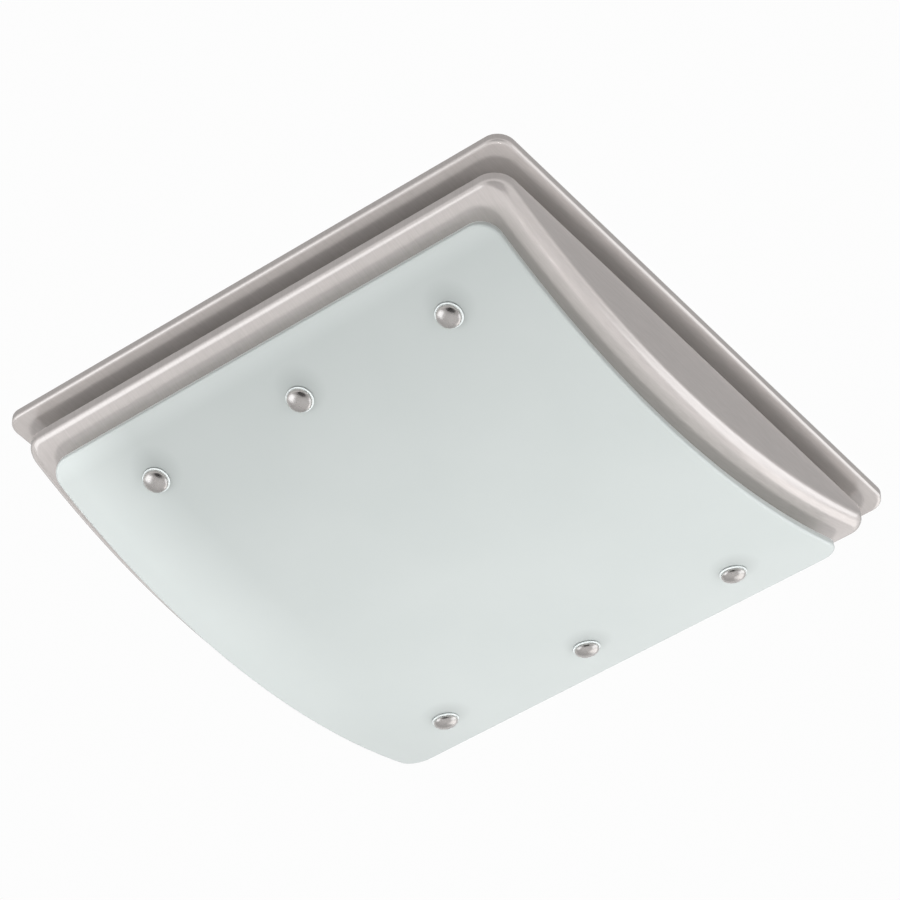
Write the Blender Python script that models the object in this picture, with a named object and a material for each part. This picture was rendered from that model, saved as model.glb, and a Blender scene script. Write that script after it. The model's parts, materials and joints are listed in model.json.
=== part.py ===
"""Ceiling-mounted bathroom fan with a light: a square metal trim plate, an arched metal light frame hung under it
with an air gap all round, a bent glass panel held by six knobs, and a blower in a steel housing above the ceiling.

Lengths are in metres. +Z is up and z = 0 is the ceiling plane, where the plate's rim meets it.
X runs along the glass's straight lines and Y along its arch."""

import math

import bmesh
import bpy
from mathutils import Matrix, Vector

# General sheet, gaps and cuts
SEAT_GAP = 0.0003
SLIP_GAP = 0.0005
OVERRUN = 0.004
SHARP_ANGLE = math.radians(35)

# Trim plate
PLATE_SIDE = 0.400
PLATE_CORNER = 0.012
PLATE_DEPTH = 0.006
PLATE_SHEET = 0.0012
PLATE_EDGE_ROUND = 0.0015
PLATE_COLLAR_GAP = 0.0038
PLATE_MOUTH_CORNER = 0.010
PLATE_COLLAR_RISE = 0.006
SPRING_TAB_PAST = 0.008
SPRING_TAB_WIDTH = 0.012

# Light frame
FRAME_X = 0.383
FRAME_Y = 0.382
FRAME_CORNER = 0.015
FRAME_SHEET = 0.0012
FRAME_EDGE_ROUND = 0.0022
FRAME_SIDE_ROUND = 0.0078
FRAME_DROP = 0.013
FRAME_WALL_HEIGHT = 0.0076
FRAME_ARCH_RISE = 0.0391
FRAME_WALL_STEP = 0.0008
FRAME_MOUTH_X = 0.300
FRAME_MOUTH_Y = 0.250
FRAME_MOUTH_CORNER = 0.008

# Pan that closes the frame's top and carries the lamps
PAN_SHEET = 0.001

# Standoffs between the trim plate and the pan
STANDOFF_DIAMETER = 0.010
STANDOFF_INSET = 0.026

# Glass panel
GLASS_ARCH_RISE = 0.0415
GLASS_ARCH_START = 0.010
GLASS_GAP = 0.0068
GLASS_THICK = 0.005
GLASS_X = 0.3514
GLASS_CHORD = 0.3647
GLASS_CORNER = 0.015
GLASS_EDGE_ROUND = 0.0018
GLASS_HOLE = 0.007

# Knobs, washers and studs
KNOB_SPACING_X = 0.1167
KNOB_SPREAD_Y = 0.2864
KNOB_DIAMETER = 0.016
KNOB_HEIGHT = 0.0045
KNOB_RIM_HEIGHT = 0.0016
WASHER_DIAMETER = 0.018
WASHER_THICK = 0.001
STUD_SHOULDER_DIAMETER = 0.009
STUD_PIN_DIAMETER = 0.004
STUD_PIN_GRIP = 0.0028

# Lamps and their holders
LAMP_DIAMETER = 0.030
LAMP_LENGTH = 0.120
LAMP_DROP = 0.0215
LAMP_SPREAD_Y = 0.110
LAMP_CAP_DIAMETER = 0.026
LAMP_CAP_LENGTH = 0.024
LAMP_CAP_PITCH = 0.0036
LAMP_CAP_CREST = 0.0008
LAMP_NECK_DIAMETER = 0.020
HOLDER_DIAMETER = 0.036
HOLDER_WALL = 0.003
HOLDER_START_X = 0.138
BRACKET_SHEET = 0.0012
BRACKET_WIDTH = 0.030
BRACKET_FOOT = 0.018

# Housing
HOUSING_SIDE = 0.262
HOUSING_SHEET = 0.001
HOUSING_CORNER = 0.003
EAR_REACH = 0.025
EAR_LOW = 0.020
EAR_HOLE = 0.006
EAR_HOLE_INSET = 0.020

# Duct collar and damper
DUCT_DIAMETER = 0.098
DUCT_SHEET = 0.001
DUCT_LENGTH = 0.050
DUCT_FLANGE = 0.122
DUCT_Y = -0.064
DAMPER_SHEET = 0.001
DAMPER_CLEARANCE = 0.0015
DAMPER_PIN_DIAMETER = 0.003
DAMPER_PIN_INSET = 0.012
DAMPER_PLACE = 0.046
DAMPER_NECK = 0.008
DAMPER_KNUCKLE_WALL = 0.0012
DAMPER_KNUCKLE_LENGTH = 0.020
PIN_FIT = 0.0003

# Blower: plate, scroll, cover, wheel
BLOWER_PLATE_Z = 0.044
BLOWER_PLATE_SHEET = 0.0012
INLET_DIAMETER = 0.110
INLET_LIP_HEIGHT = 0.005
WHEEL_X = -0.020
WHEEL_Y = 0.014
WHEEL_DIAMETER = 0.130
WHEEL_BLADE_DEPTH = 0.012
WHEEL_BLADES = 24
WHEEL_BLADE_SHEET = 0.0010
WHEEL_BLADE_HEIGHT = 0.076
BLADE_SWEEP = math.radians(9)
WHEEL_FLOOR_GAP = 0.0075
WHEEL_TOP_GAP = 0.0109
WHEEL_DISC_SHEET = 0.0016
WHEEL_RING_HEIGHT = 0.004
WHEEL_RING_WALL = 0.0016
WHEEL_HUB_DIAMETER = 0.020
WHEEL_HUB_LENGTH = 0.016
SCROLL_SHEET = 0.001
SCROLL_START_RADIUS = 0.072
SCROLL_END_RADIUS = 0.112
SCROLL_START_DEGREES = -50
SCROLL_END_DEGREES = 270
SCROLL_FLARE = 0.010
COVER_SHEET = 0.0012
COVER_HOLE = 0.024

# Motor
SHAFT_DIAMETER = 0.008
SHAFT_HUB_PASS = 0.003
STATOR_X = 0.062
STATOR_Y = 0.074
STATOR_STACK = 0.020
STATOR_BORE = 0.0312
STATOR_WINDOW_X = 0.030
STATOR_WINDOW_Y = 0.014
STATOR_LIFT = 0.011
STATOR_POLE = 0.0076
MOTOR_POST_DIAMETER = 0.006
ROTOR_DIAMETER = 0.030
COIL_WALL = 0.0045
COIL_LENGTH = 0.026
COIL_LEG_Y = 0.012
BEARING_SHEET = 0.0015
BEARING_WIDTH = 0.022
BEARING_BOSS = 0.018
BEARING_RISE = 0.008
BEARING_FOOT = 0.010
SHAFT_END_PASS = 0.0015
ROOF_GAP = 0.0037

# Wiring box and cable clamp
WIRING_X = 0.056
WIRING_Y = 0.052
WIRING_HEIGHT = 0.034
WIRING_SHEET = 0.001
WIRING_CORNER = 0.003
SOCKET_WIDTH = 0.022
SOCKET_HEIGHT = 0.016
SOCKET_DEPTH = 0.012
SOCKET_SPACING = 0.026
SOCKET_PIN_HOLE = 0.003
CLAMP_DIAMETER = 0.020
CLAMP_BORE = 0.012
CLAMP_REACH = 0.016
CLAMP_FLANGE = 0.028
CLAMP_FLANGE_THICK = 0.003

# Mounting springs
SPRING_DIAMETER = 0.009
SPRING_WIRE = 0.0012
SPRING_TURNS = 8
SPRING_POINTS_PER_TURN = 9
SPRING_WALL_GAP = 0.015
SPRING_BRACKET_LEG = 0.018
SPRING_BRACKET_DROP = 0.004

# Number of facets
CORNER_STEPS = 5
SIDE_STEPS = 14
FACE_RINGS = 4
EDGE_RINGS = 4
ROUND_STEPS = 24
SMALL_ROUND_STEPS = 12
DUCT_STEPS = 40
SCROLL_STEPS = 40

# Places worked out from the sizes above
PLATE_FACE_Z = -PLATE_DEPTH
FRAME_TOP_Z = PLATE_FACE_Z - FRAME_DROP
WALL_LOW_Z = FRAME_TOP_Z - FRAME_WALL_HEIGHT + FRAME_EDGE_ROUND + FRAME_WALL_STEP / 2
FACE_RADIUS = ((FRAME_Y / 2) ** 2 + FRAME_ARCH_RISE**2) / (2 * FRAME_ARCH_RISE)
FACE_CENTRE_Z = FRAME_TOP_Z - FRAME_WALL_HEIGHT - FRAME_ARCH_RISE + FACE_RADIUS
ARCH_RADIUS = ((FRAME_Y / 2) ** 2 + GLASS_ARCH_RISE**2) / (2 * GLASS_ARCH_RISE)
ARCH_CENTRE_Z = FRAME_TOP_Z - GLASS_ARCH_START - GLASS_ARCH_RISE + ARCH_RADIUS
PAN_TOP_Z = FRAME_TOP_Z - PAN_SHEET
PAN_UNDER_Z = PAN_TOP_Z - PAN_SHEET
GLASS_OUTER = GLASS_GAP + GLASS_THICK
WASHER_START = GLASS_OUTER + SEAT_GAP
KNOB_START = WASHER_START + WASHER_THICK + SEAT_GAP
STUD_END = KNOB_START + STUD_PIN_GRIP
KNOB_TILT = math.asin(KNOB_SPREAD_Y / 2 / (ARCH_RADIUS + GLASS_OUTER))
LAMP_Z = PAN_UNDER_Z - LAMP_DROP
HOUSING_FOOT_Z = SEAT_GAP
HOUSING_INNER = HOUSING_SIDE / 2 - HOUSING_SHEET
PLATE_MOUTH = HOUSING_INNER - PLATE_COLLAR_GAP - PLATE_SHEET
SPRING_X = HOUSING_INNER - SPRING_WALL_GAP
SPRING_BRACKET_Z = BLOWER_PLATE_Z - SPRING_BRACKET_DROP
SCROLL_FLOOR_Z = BLOWER_PLATE_Z + BLOWER_PLATE_SHEET + SEAT_GAP
WHEEL_FLOOR_Z = SCROLL_FLOOR_Z + WHEEL_FLOOR_GAP
WHEEL_DISC_Z = WHEEL_FLOOR_Z + WHEEL_BLADE_HEIGHT
SCROLL_TOP_Z = WHEEL_DISC_Z + WHEEL_DISC_SHEET + WHEEL_TOP_GAP
COVER_Z = SCROLL_TOP_Z + SEAT_GAP
COVER_TOP_Z = COVER_Z + COVER_SHEET
STATOR_Z = COVER_TOP_Z + SEAT_GAP + STATOR_LIFT
STATOR_TOP_Z = STATOR_Z + STATOR_STACK
SHAFT_TOP_Z = STATOR_TOP_Z + SEAT_GAP + BEARING_RISE + BEARING_SHEET + SHAFT_END_PASS
HOUSING_TOP_Z = SHAFT_TOP_Z + ROOF_GAP + HOUSING_SHEET
EAR_TOP_Z = HOUSING_TOP_Z - HOUSING_FOOT_Z - EAR_LOW
FULL_TURN = 2 * math.pi


def clear_scene():
    """Take every object out of the scene."""
    for item in list(bpy.data.objects):
        bpy.data.objects.remove(item, do_unlink=True)


def finish(name, colour, roughness, metallic, alpha=1.0):
    """A plain Principled material with the piece's colour and gloss."""
    made = bpy.data.materials.new(name)
    made.use_nodes = True
    shader = made.node_tree.nodes["Principled BSDF"]
    shader.inputs["Base Color"].default_value = (*colour, 1.0)
    shader.inputs["Roughness"].default_value = roughness
    shader.inputs["Metallic"].default_value = metallic
    shader.inputs["Alpha"].default_value = alpha
    made.diffuse_color = (*colour, alpha)
    return made


def add_object(name, shape, surface, place=None):
    """Turn a bmesh into a named object with outward faces and smooth round sides."""
    bmesh.ops.recalc_face_normals(shape, faces=shape.faces)
    mesh = bpy.data.meshes.new(name)
    shape.to_mesh(mesh)
    shape.free()
    mesh.materials.append(surface)
    mesh.shade_smooth()
    mesh.set_sharp_from_angle(angle=SHARP_ANGLE)
    return link_object(name, mesh, place)


def link_object(name, mesh, place=None):
    """Put a mesh into the scene at a place; copies of a piece share one mesh."""
    item = bpy.data.objects.new(name, mesh)
    bpy.context.scene.collection.objects.link(item)
    if place is not None:
        item.matrix_world = place
    return item


def cut(item, shape, operation="DIFFERENCE"):
    """Cut a shape out of an object, or join it on with the operation UNION."""
    bmesh.ops.recalc_face_normals(shape, faces=shape.faces)
    mesh = bpy.data.meshes.new(item.name + "_tool")
    shape.to_mesh(mesh)
    shape.free()
    tool = link_object(item.name + "_tool", mesh, item.matrix_world.copy())
    tool.hide_render = True
    tool.display_type = "WIRE"
    modifier = item.modifiers.new(operation.lower(), "BOOLEAN")
    modifier.operation = operation
    modifier.object = tool
    return tool


def rounded_outline(half_x, half_y, corner, side_steps=1):
    """Points round a rounded rectangle, anticlockwise; each side that runs along Y is divided into side_steps."""
    points = []
    for index, (sign_x, sign_y) in enumerate(((1, 1), (-1, 1), (-1, -1), (1, -1))):
        centre_x = sign_x * (half_x - corner)
        centre_y = sign_y * (half_y - corner)
        for step in range(CORNER_STEPS + 1):
            angle = (index + step / CORNER_STEPS) * FULL_TURN / 4
            points.append((centre_x + corner * math.cos(angle), centre_y + corner * math.sin(angle)))
        if index % 2 == 1:
            for step in range(1, side_steps):
                share = 1 - 2 * step / side_steps
                points.append((sign_x * half_x, centre_y * share))
    return points


def add_rings(shape, rings, closed=False):
    """Join each ring of points to the next; the last joins the first where closed, and else both ends are capped."""
    rows = [[shape.verts.new(point) for point in ring] for ring in rings]
    pairs = list(zip(rows, rows[1:]))
    if closed:
        pairs.append((rows[-1], rows[0]))
    else:
        shape.faces.new(rows[0])
        shape.faces.new(rows[-1])
    for first, second in pairs:
        for index in range(len(first)):
            after = (index + 1) % len(first)
            shape.faces.new((first[index], first[after], second[after], second[index]))


def add_ladder(shape, ring):
    """Fill a rounded outline with straight strips along X, from its +Y end to its -Y end."""
    for step in range(len(ring) // 2 - 1):
        near = CORNER_STEPS - step
        far = CORNER_STEPS + 1 + step
        shape.faces.new((ring[near], ring[near - 1], ring[far + 1], ring[far]))


def add_turned(shape, profile, steps, place=None):
    """Turn a profile of (radius, height) points about Z; one that starts off the axis closes on itself as a ring."""
    place = place or Matrix.Identity(4)
    rows = []
    for radius, height in profile:
        count = steps if radius else 1
        angles = [FULL_TURN * step / steps for step in range(count)]
        ring = [Vector((radius * math.cos(a), radius * math.sin(a), height)) for a in angles]
        rows.append([shape.verts.new(place @ point) for point in ring])
    pairs = list(zip(rows, rows[1:]))
    if profile[0][0]:
        pairs.append((rows[-1], rows[0]))
    for first, second in pairs:
        for index in range(steps):
            after = (index + 1) % steps
            corners = (
                first[index % len(first)],
                first[after % len(first)],
                second[after % len(second)],
                second[index % len(second)],
            )
            shape.faces.new(list(dict.fromkeys(corners)))


def add_box(shape, low, high, place=None):
    """A box between two corners."""
    low, high = Vector(low), Vector(high)
    matrix = Matrix.Translation((low + high) / 2) @ Matrix.Diagonal((*(high - low), 1))
    bmesh.ops.create_cube(shape, size=1, matrix=(place or Matrix.Identity(4)) @ matrix)


def add_rod(shape, radius, low, high, steps, place=None):
    """A round rod along Z between two heights."""
    add_turned(shape, [(0, low), (radius, low), (radius, high), (0, high)], steps, place)


def add_tube(shape, inner, outer, low, high, steps, place=None):
    """A round tube along Z between two heights."""
    add_turned(shape, [(inner, low), (outer, low), (outer, high), (inner, high)], steps, place)


def add_prism(shape, points, low, high, place=None):
    """A flat outline raised along Z from one height to another."""
    place = place or Matrix.Identity(4)
    add_rings(shape, [[place @ Vector((x, y, z)) for x, y in points] for z in (low, high)])


def turned_to(axis, place):
    """A matrix that lays local Z along an axis at a place."""
    turn = Vector((0, 0, 1)).rotation_difference(Vector(axis)).to_matrix().to_4x4()
    return Matrix.Translation(place) @ turn


def face_z(y):
    """Height of the frame's arched face at y."""
    return FACE_CENTRE_Z - math.sqrt(FACE_RADIUS**2 - y**2)


def stud_foot():
    """Height of a stud's foot along the knob's axis, clear of the face all round the shoulder."""
    out = Vector((math.sin(KNOB_TILT), -math.cos(KNOB_TILT)))
    start = Vector((out.x * ARCH_RADIUS, ARCH_CENTRE_Z + out.y * ARCH_RADIUS - FACE_CENTRE_Z))
    along = start.dot(out)
    reach = math.sqrt(along**2 - start.length_squared + FACE_RADIUS**2) - along
    lean = math.acos((start + out * reach).normalized().dot(out))
    return reach + SEAT_GAP + math.tan(lean) * STUD_SHOULDER_DIAMETER / 2


def knob_place(index):
    """A knob's axis: local Z goes out through the glass from the arc that the glass is bent to."""
    column = index % 3 - 1
    tilt = KNOB_TILT if index // 3 else -KNOB_TILT
    foot = Vector((column * KNOB_SPACING_X, math.sin(tilt) * ARCH_RADIUS, ARCH_CENTRE_Z - math.cos(tilt) * ARCH_RADIUS))
    return Matrix.Translation(foot) @ Matrix.Rotation(math.pi + tilt, 4, "X")


def trim_plate(surface):
    """The square tray with a rounded lower edge, its mouth's collar turned up into the housing, and two spring tabs."""
    half = PLATE_SIDE / 2
    mouth = PLATE_MOUTH
    inner_round = PLATE_EDGE_ROUND / 3
    slope = 1 - math.sqrt(0.5)
    profile = [
        (half, 0),
        (half, PLATE_FACE_Z + PLATE_EDGE_ROUND),
        (half - PLATE_EDGE_ROUND * slope, PLATE_FACE_Z + PLATE_EDGE_ROUND * slope),
        (half - PLATE_EDGE_ROUND, PLATE_FACE_Z),
        (mouth, PLATE_FACE_Z),
        (mouth, PLATE_COLLAR_RISE),
        (mouth + PLATE_SHEET, PLATE_COLLAR_RISE),
        (mouth + PLATE_SHEET, PLATE_FACE_Z + PLATE_SHEET),
        (half - PLATE_SHEET - inner_round, PLATE_FACE_Z + PLATE_SHEET),
        (half - PLATE_SHEET, PLATE_FACE_Z + PLATE_SHEET + inner_round),
        (half - PLATE_SHEET, 0),
    ]
    rings = []
    for reach, height in profile:
        share = (reach - mouth) / (half - mouth)
        corner = PLATE_MOUTH_CORNER + (PLATE_CORNER - PLATE_MOUTH_CORNER) * share
        rings.append([(x, y, height) for x, y in rounded_outline(reach, reach, corner)])
    shape = bmesh.new()
    add_rings(shape, rings, closed=True)
    item = add_object("trim_plate", shape, surface)
    tabs = bmesh.new()
    for side in (-1, 1):
        edge = side * (mouth + PLATE_SHEET / 2)
        tip = side * (SPRING_X - SPRING_TAB_PAST)
        add_box(
            tabs,
            (min(edge, tip), -SPRING_TAB_WIDTH / 2, PLATE_COLLAR_RISE - 2 * PLATE_SHEET),
            (max(edge, tip), SPRING_TAB_WIDTH / 2, PLATE_COLLAR_RISE - PLATE_SHEET),
        )
    cut(item, tabs, "UNION")
    return item


def light_frame(surface):
    """The folded frame: a wall whose lower line follows the arch, a small step in, a rounded edge and a bent face."""
    half_x = FRAME_X / 2
    half_y = FRAME_Y / 2
    rim = rounded_outline(half_x, half_y, FRAME_CORNER, SIDE_STEPS)
    inner = rounded_outline(half_x - FRAME_SHEET, half_y - FRAME_SHEET, FRAME_CORNER - FRAME_SHEET, SIDE_STEPS)
    mouth = rounded_outline(FRAME_MOUTH_X / 2, FRAME_MOUTH_Y / 2, FRAME_MOUTH_CORNER, SIDE_STEPS)
    rim = [Vector(point) for point in rim]
    inward = [(Vector(point) - start) / FRAME_SHEET for point, start in zip(inner, rim)]
    rounds = [FRAME_EDGE_ROUND + (FRAME_SIDE_ROUND - FRAME_EDGE_ROUND) * turn.x**2 for turn in inward]

    def level_ring(inset, height):
        return [(*(start + turn * inset), height) for start, turn in zip(rim, inward)]

    def step_ring(inset):
        ring = []
        for start, turn, radius in zip(rim, inward, rounds):
            spot = start + turn * inset
            ring.append((*spot, face_z(spot.y) + radius + FRAME_WALL_STEP / 2))
        return ring

    def edge_ring(bend, depth):
        ring = []
        for start, turn, radius in zip(rim, inward, rounds):
            spot = start + turn * (FRAME_WALL_STEP + radius - (radius - depth) * math.cos(bend))
            ring.append((*spot, face_z(spot.y) + radius - (radius - depth) * math.sin(bend)))
        return ring

    def face_ring(share, depth):
        ring = []
        for start, turn, radius, target in zip(rim, inward, rounds, mouth):
            spot = (start + turn * (FRAME_WALL_STEP + radius)).lerp(Vector(target), share)
            ring.append((*spot, face_z(spot.y) + depth))
        return ring

    rings = [level_ring(0, FRAME_TOP_Z), step_ring(0)]
    bends = [FULL_TURN / 4 * step / EDGE_RINGS for step in range(EDGE_RINGS)]
    for bend in bends:
        rings.append(edge_ring(bend, 0))
    for step in range(FACE_RINGS + 1):
        rings.append(face_ring(step / FACE_RINGS, 0))
    for step in reversed(range(FACE_RINGS + 1)):
        rings.append(face_ring(step / FACE_RINGS, FRAME_SHEET))
    for bend in reversed(bends):
        rings.append(edge_ring(bend, FRAME_SHEET))
    rings.append(step_ring(FRAME_SHEET))
    rings.append(level_ring(FRAME_SHEET, FRAME_TOP_Z))
    shape = bmesh.new()
    add_rings(shape, rings, closed=True)
    return add_object("light_frame", shape, surface)


def reflector_pan(surface):
    """The white pan that closes the frame's top, with a rim turned down inside the frame's wall."""
    half_x = FRAME_X / 2 - FRAME_SHEET - SLIP_GAP
    half_y = FRAME_Y / 2 - FRAME_SHEET - SLIP_GAP
    corner = FRAME_CORNER - FRAME_SHEET - SLIP_GAP
    rim_z = WALL_LOW_Z + SLIP_GAP
    profile = ((0, PAN_TOP_Z), (0, rim_z), (PAN_SHEET, rim_z), (PAN_SHEET, PAN_UNDER_Z))
    rings = []
    for inset, height in profile:
        rings.append([(x, y, height) for x, y in rounded_outline(half_x - inset, half_y - inset, corner - inset)])
    shape = bmesh.new()
    add_rings(shape, rings)
    return add_object("reflector_pan", shape, surface)


def standoffs(surface):
    """Four round standoffs that hang the pan and the frame under the trim plate."""
    shape = bmesh.new()
    length = PLATE_FACE_Z - PAN_TOP_Z - 2 * SEAT_GAP
    add_rod(shape, STANDOFF_DIAMETER / 2, 0, length, SMALL_ROUND_STEPS)
    first = None
    for index in range(4):
        x = (FRAME_X / 2 - STANDOFF_INSET) * (1 if index % 2 else -1)
        y = (FRAME_Y / 2 - STANDOFF_INSET) * (1 if index // 2 else -1)
        place = Matrix.Translation((x, y, PAN_TOP_Z + SEAT_GAP))
        name = f"standoff_{index + 1}"
        if first is None:
            first = add_object(name, shape, surface, place)
        else:
            link_object(name, first.data, place)


def glass_panel(surface):
    """The bent glass: a rounded sheet whose straight lines run along X, with a ground edge and six knob holes."""
    half_x = GLASS_X / 2
    outer_radius = ARCH_RADIUS + GLASS_OUTER
    half_arc = math.asin(GLASS_CHORD / 2 / outer_radius) * outer_radius
    ground = GLASS_EDGE_ROUND * (1 - math.sqrt(0.5))
    layers = (
        (GLASS_EDGE_ROUND, 0),
        (ground, ground),
        (0, GLASS_EDGE_ROUND),
        (0, GLASS_THICK - GLASS_EDGE_ROUND),
        (ground, GLASS_THICK - ground),
        (GLASS_EDGE_ROUND, GLASS_THICK),
    )
    shape = bmesh.new()
    rows = []
    for inset, depth in layers:
        ring = []
        for x, arc in rounded_outline(half_x - inset, half_arc - inset, GLASS_CORNER - inset, SIDE_STEPS):
            angle = arc / outer_radius
            radius = ARCH_RADIUS + GLASS_GAP + depth
            point = (x, math.sin(angle) * radius, ARCH_CENTRE_Z - math.cos(angle) * radius)
            ring.append(shape.verts.new(point))
        rows.append(ring)
    count = len(rows[0])
    for first, second in zip(rows, rows[1:]):
        for index in range(count):
            after = (index + 1) % count
            shape.faces.new((first[index], first[after], second[after], second[index]))
    for ring in (rows[0], rows[-1]):
        add_ladder(shape, ring)
    item = add_object("glass_panel", shape, surface)
    holes = bmesh.new()
    for index in range(6):
        add_rod(holes, GLASS_HOLE / 2, GLASS_GAP - OVERRUN, GLASS_OUTER + OVERRUN, SMALL_ROUND_STEPS, knob_place(index))
    cut(item, holes)
    return item


def glass_fasteners(metal, plastic):
    """Six studs on the frame's face, each with a washer and a domed knob that clamp the glass."""
    stud = bmesh.new()
    shoulder = STUD_SHOULDER_DIAMETER / 2
    pin = STUD_PIN_DIAMETER / 2
    ledge = GLASS_GAP - SEAT_GAP
    foot = stud_foot()
    stud_profile = [(0, foot), (shoulder, foot), (shoulder, ledge), (pin, ledge), (pin, STUD_END), (0, STUD_END)]
    add_turned(stud, stud_profile, SMALL_ROUND_STEPS)
    washer = bmesh.new()
    bore = pin + SEAT_GAP
    washer_end = WASHER_START + WASHER_THICK
    add_tube(washer, bore, WASHER_DIAMETER / 2, WASHER_START, washer_end, SMALL_ROUND_STEPS * 2)
    knob = bmesh.new()
    rim_z = KNOB_START + KNOB_RIM_HEIGHT
    dome = KNOB_HEIGHT - KNOB_RIM_HEIGHT
    knob_profile = [(0, STUD_END + SEAT_GAP), (bore, STUD_END + SEAT_GAP), (bore, KNOB_START)]
    knob_profile.append((KNOB_DIAMETER / 2, KNOB_START))
    for step in range(4):
        angle = FULL_TURN / 4 * step / 4
        knob_profile.append((KNOB_DIAMETER / 2 * math.cos(angle), rim_z + dome * math.sin(angle)))
    knob_profile.append((0, rim_z + dome))
    add_turned(knob, knob_profile, ROUND_STEPS)
    firsts = {}
    for index in range(6):
        place = knob_place(index)
        for name, shape, surface in (("stud", stud, metal), ("washer", washer, plastic), ("knob", knob, metal)):
            label = f"{name}_{index + 1}"
            if name in firsts:
                link_object(label, firsts[name].data, place)
            else:
                firsts[name] = add_object(label, shape, surface, place)


def lamps(white, bulb_glass, metal):
    """Two tubular lamps that lie along X from opposite ends, each in a holder on a bent bracket under the pan."""
    bulb = bmesh.new()
    radius = LAMP_DIAMETER / 2
    neck = LAMP_NECK_DIAMETER / 2
    bulb_profile = [(0, 0), (neck, 0), (neck, radius / 2), (radius, radius)]
    for step in range(4):
        angle = FULL_TURN / 4 * step / 4
        reach = LAMP_LENGTH - radius + radius * math.sin(angle)
        bulb_profile.append((radius * math.cos(angle), reach))
    bulb_profile.append((0, LAMP_LENGTH))
    add_turned(bulb, bulb_profile, ROUND_STEPS)
    cap = bmesh.new()
    cap_radius = LAMP_CAP_DIAMETER / 2
    cap_profile = [(0, -LAMP_CAP_LENGTH), (cap_radius / 2, -LAMP_CAP_LENGTH)]
    threads = int((LAMP_CAP_LENGTH - 2 * LAMP_CAP_PITCH) / LAMP_CAP_PITCH)
    for step in range(2 * threads + 1):
        radius_here = cap_radius - LAMP_CAP_CREST * (step % 2)
        cap_profile.append((radius_here, -LAMP_CAP_LENGTH + LAMP_CAP_PITCH * (1 + step / 2)))
    cap_profile.append((cap_radius, -SEAT_GAP))
    cap_profile.append((0, -SEAT_GAP))
    add_turned(cap, cap_profile, SMALL_ROUND_STEPS * 2)
    holder = bmesh.new()
    outer = HOLDER_DIAMETER / 2
    bore = cap_radius + SLIP_GAP
    floor = -LAMP_CAP_LENGTH - SEAT_GAP
    base = floor - HOLDER_WALL
    holder_profile = [(0, base), (outer, base), (outer, -SEAT_GAP), (bore, -SEAT_GAP), (bore, floor), (0, floor)]
    add_turned(holder, holder_profile, ROUND_STEPS)
    bracket = bmesh.new()
    lift = PAN_UNDER_Z - LAMP_Z - SEAT_GAP
    back = base - SEAT_GAP
    half = BRACKET_WIDTH / 2
    leg_low = -outer * math.sqrt(0.5)
    add_bent_strip(
        bracket,
        [(lift, back - BRACKET_SHEET + BRACKET_FOOT), (lift, back - BRACKET_SHEET), (leg_low, back - BRACKET_SHEET)],
        [(lift - BRACKET_SHEET, back - BRACKET_SHEET + BRACKET_FOOT), (lift - BRACKET_SHEET, back), (leg_low, back)],
        half,
    )
    firsts = {}
    for index, side in enumerate((-1, 1)):
        start = side * (HOLDER_START_X + base)
        place = Matrix.Translation((start, side * LAMP_SPREAD_Y / 2, LAMP_Z))
        place = place @ Matrix(((0, 0, -side, 0), (0, side, 0, 0), (1, 0, 0, 0), (0, 0, 0, 1)))
        pieces = (
            ("lamp_bulb", bulb, bulb_glass),
            ("lamp_cap", cap, metal),
            ("lamp_holder", holder, white),
            ("lamp_bracket", bracket, white),
        )
        for name, shape, surface in pieces:
            label = f"{name}_{index + 1}"
            if name in firsts:
                link_object(label, firsts[name].data, place)
            else:
                firsts[name] = add_object(label, shape, surface, place)


def add_bent_strip(shape, upper, lower, half_width):
    """A sheet strip folded along a line of (local X, local Z) points, as wide as it is along local Y."""
    outline = upper + lower[::-1]
    add_rings(shape, [[(x, y, z) for x, z in outline] for y in (-half_width, half_width)])


def housing(surface):
    """The steel housing: a deep box open below, with joist ears, a round duct hole and a cable hole."""
    shape = bmesh.new()
    rings = []
    half = HOUSING_SIDE / 2
    roof_z = HOUSING_TOP_Z - HOUSING_SHEET
    profile = ((HOUSING_SHEET, roof_z), (HOUSING_SHEET, HOUSING_FOOT_Z), (0, HOUSING_FOOT_Z), (0, HOUSING_TOP_Z))
    for inset, height in profile:
        reach = half - inset
        rings.append([(x, y, height) for x, y in rounded_outline(reach, reach, HOUSING_CORNER - inset)])
    add_rings(shape, rings)
    item = add_object("housing", shape, surface)
    ears = bmesh.new()
    for side in (-1, 1):
        near = side * (half - HOUSING_CORNER)
        far = side * (half + EAR_REACH)
        low = (-half, min(near, far), EAR_LOW)
        high = (-half + HOUSING_SHEET, max(near, far), EAR_TOP_Z)
        add_box(ears, low, high)
    cut(item, ears, "UNION")
    holes = bmesh.new()
    for side in (-1, 1):
        for centre_z in (EAR_LOW + EAR_HOLE_INSET, EAR_TOP_Z - EAR_HOLE_INSET):
            centre_y = side * (half + EAR_REACH / 2)
            hole_place = turned_to((1, 0, 0), (-half, centre_y, centre_z))
            add_rod(holes, EAR_HOLE / 2, -OVERRUN, OVERRUN, SMALL_ROUND_STEPS, hole_place)
    duct_place = turned_to((1, 0, 0), duct_start() - Vector((SEAT_GAP, 0, 0)))
    add_rod(holes, DUCT_DIAMETER / 2 - DUCT_SHEET, -OVERRUN, OVERRUN, DUCT_STEPS, duct_place)
    cable_place = turned_to((0, 1, 0), (cable_x(), half, cable_z()))
    add_rod(holes, CLAMP_BORE / 2, -OVERRUN, OVERRUN, ROUND_STEPS, cable_place)
    cut(item, holes)
    return item


def cable_x():
    """The wiring box's middle along X, where the cable comes in."""
    return HOUSING_INNER - SEAT_GAP - WIRING_X / 2


def cable_z():
    """The wiring box's middle height."""
    return BLOWER_PLATE_Z - SEAT_GAP - WIRING_HEIGHT / 2


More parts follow.
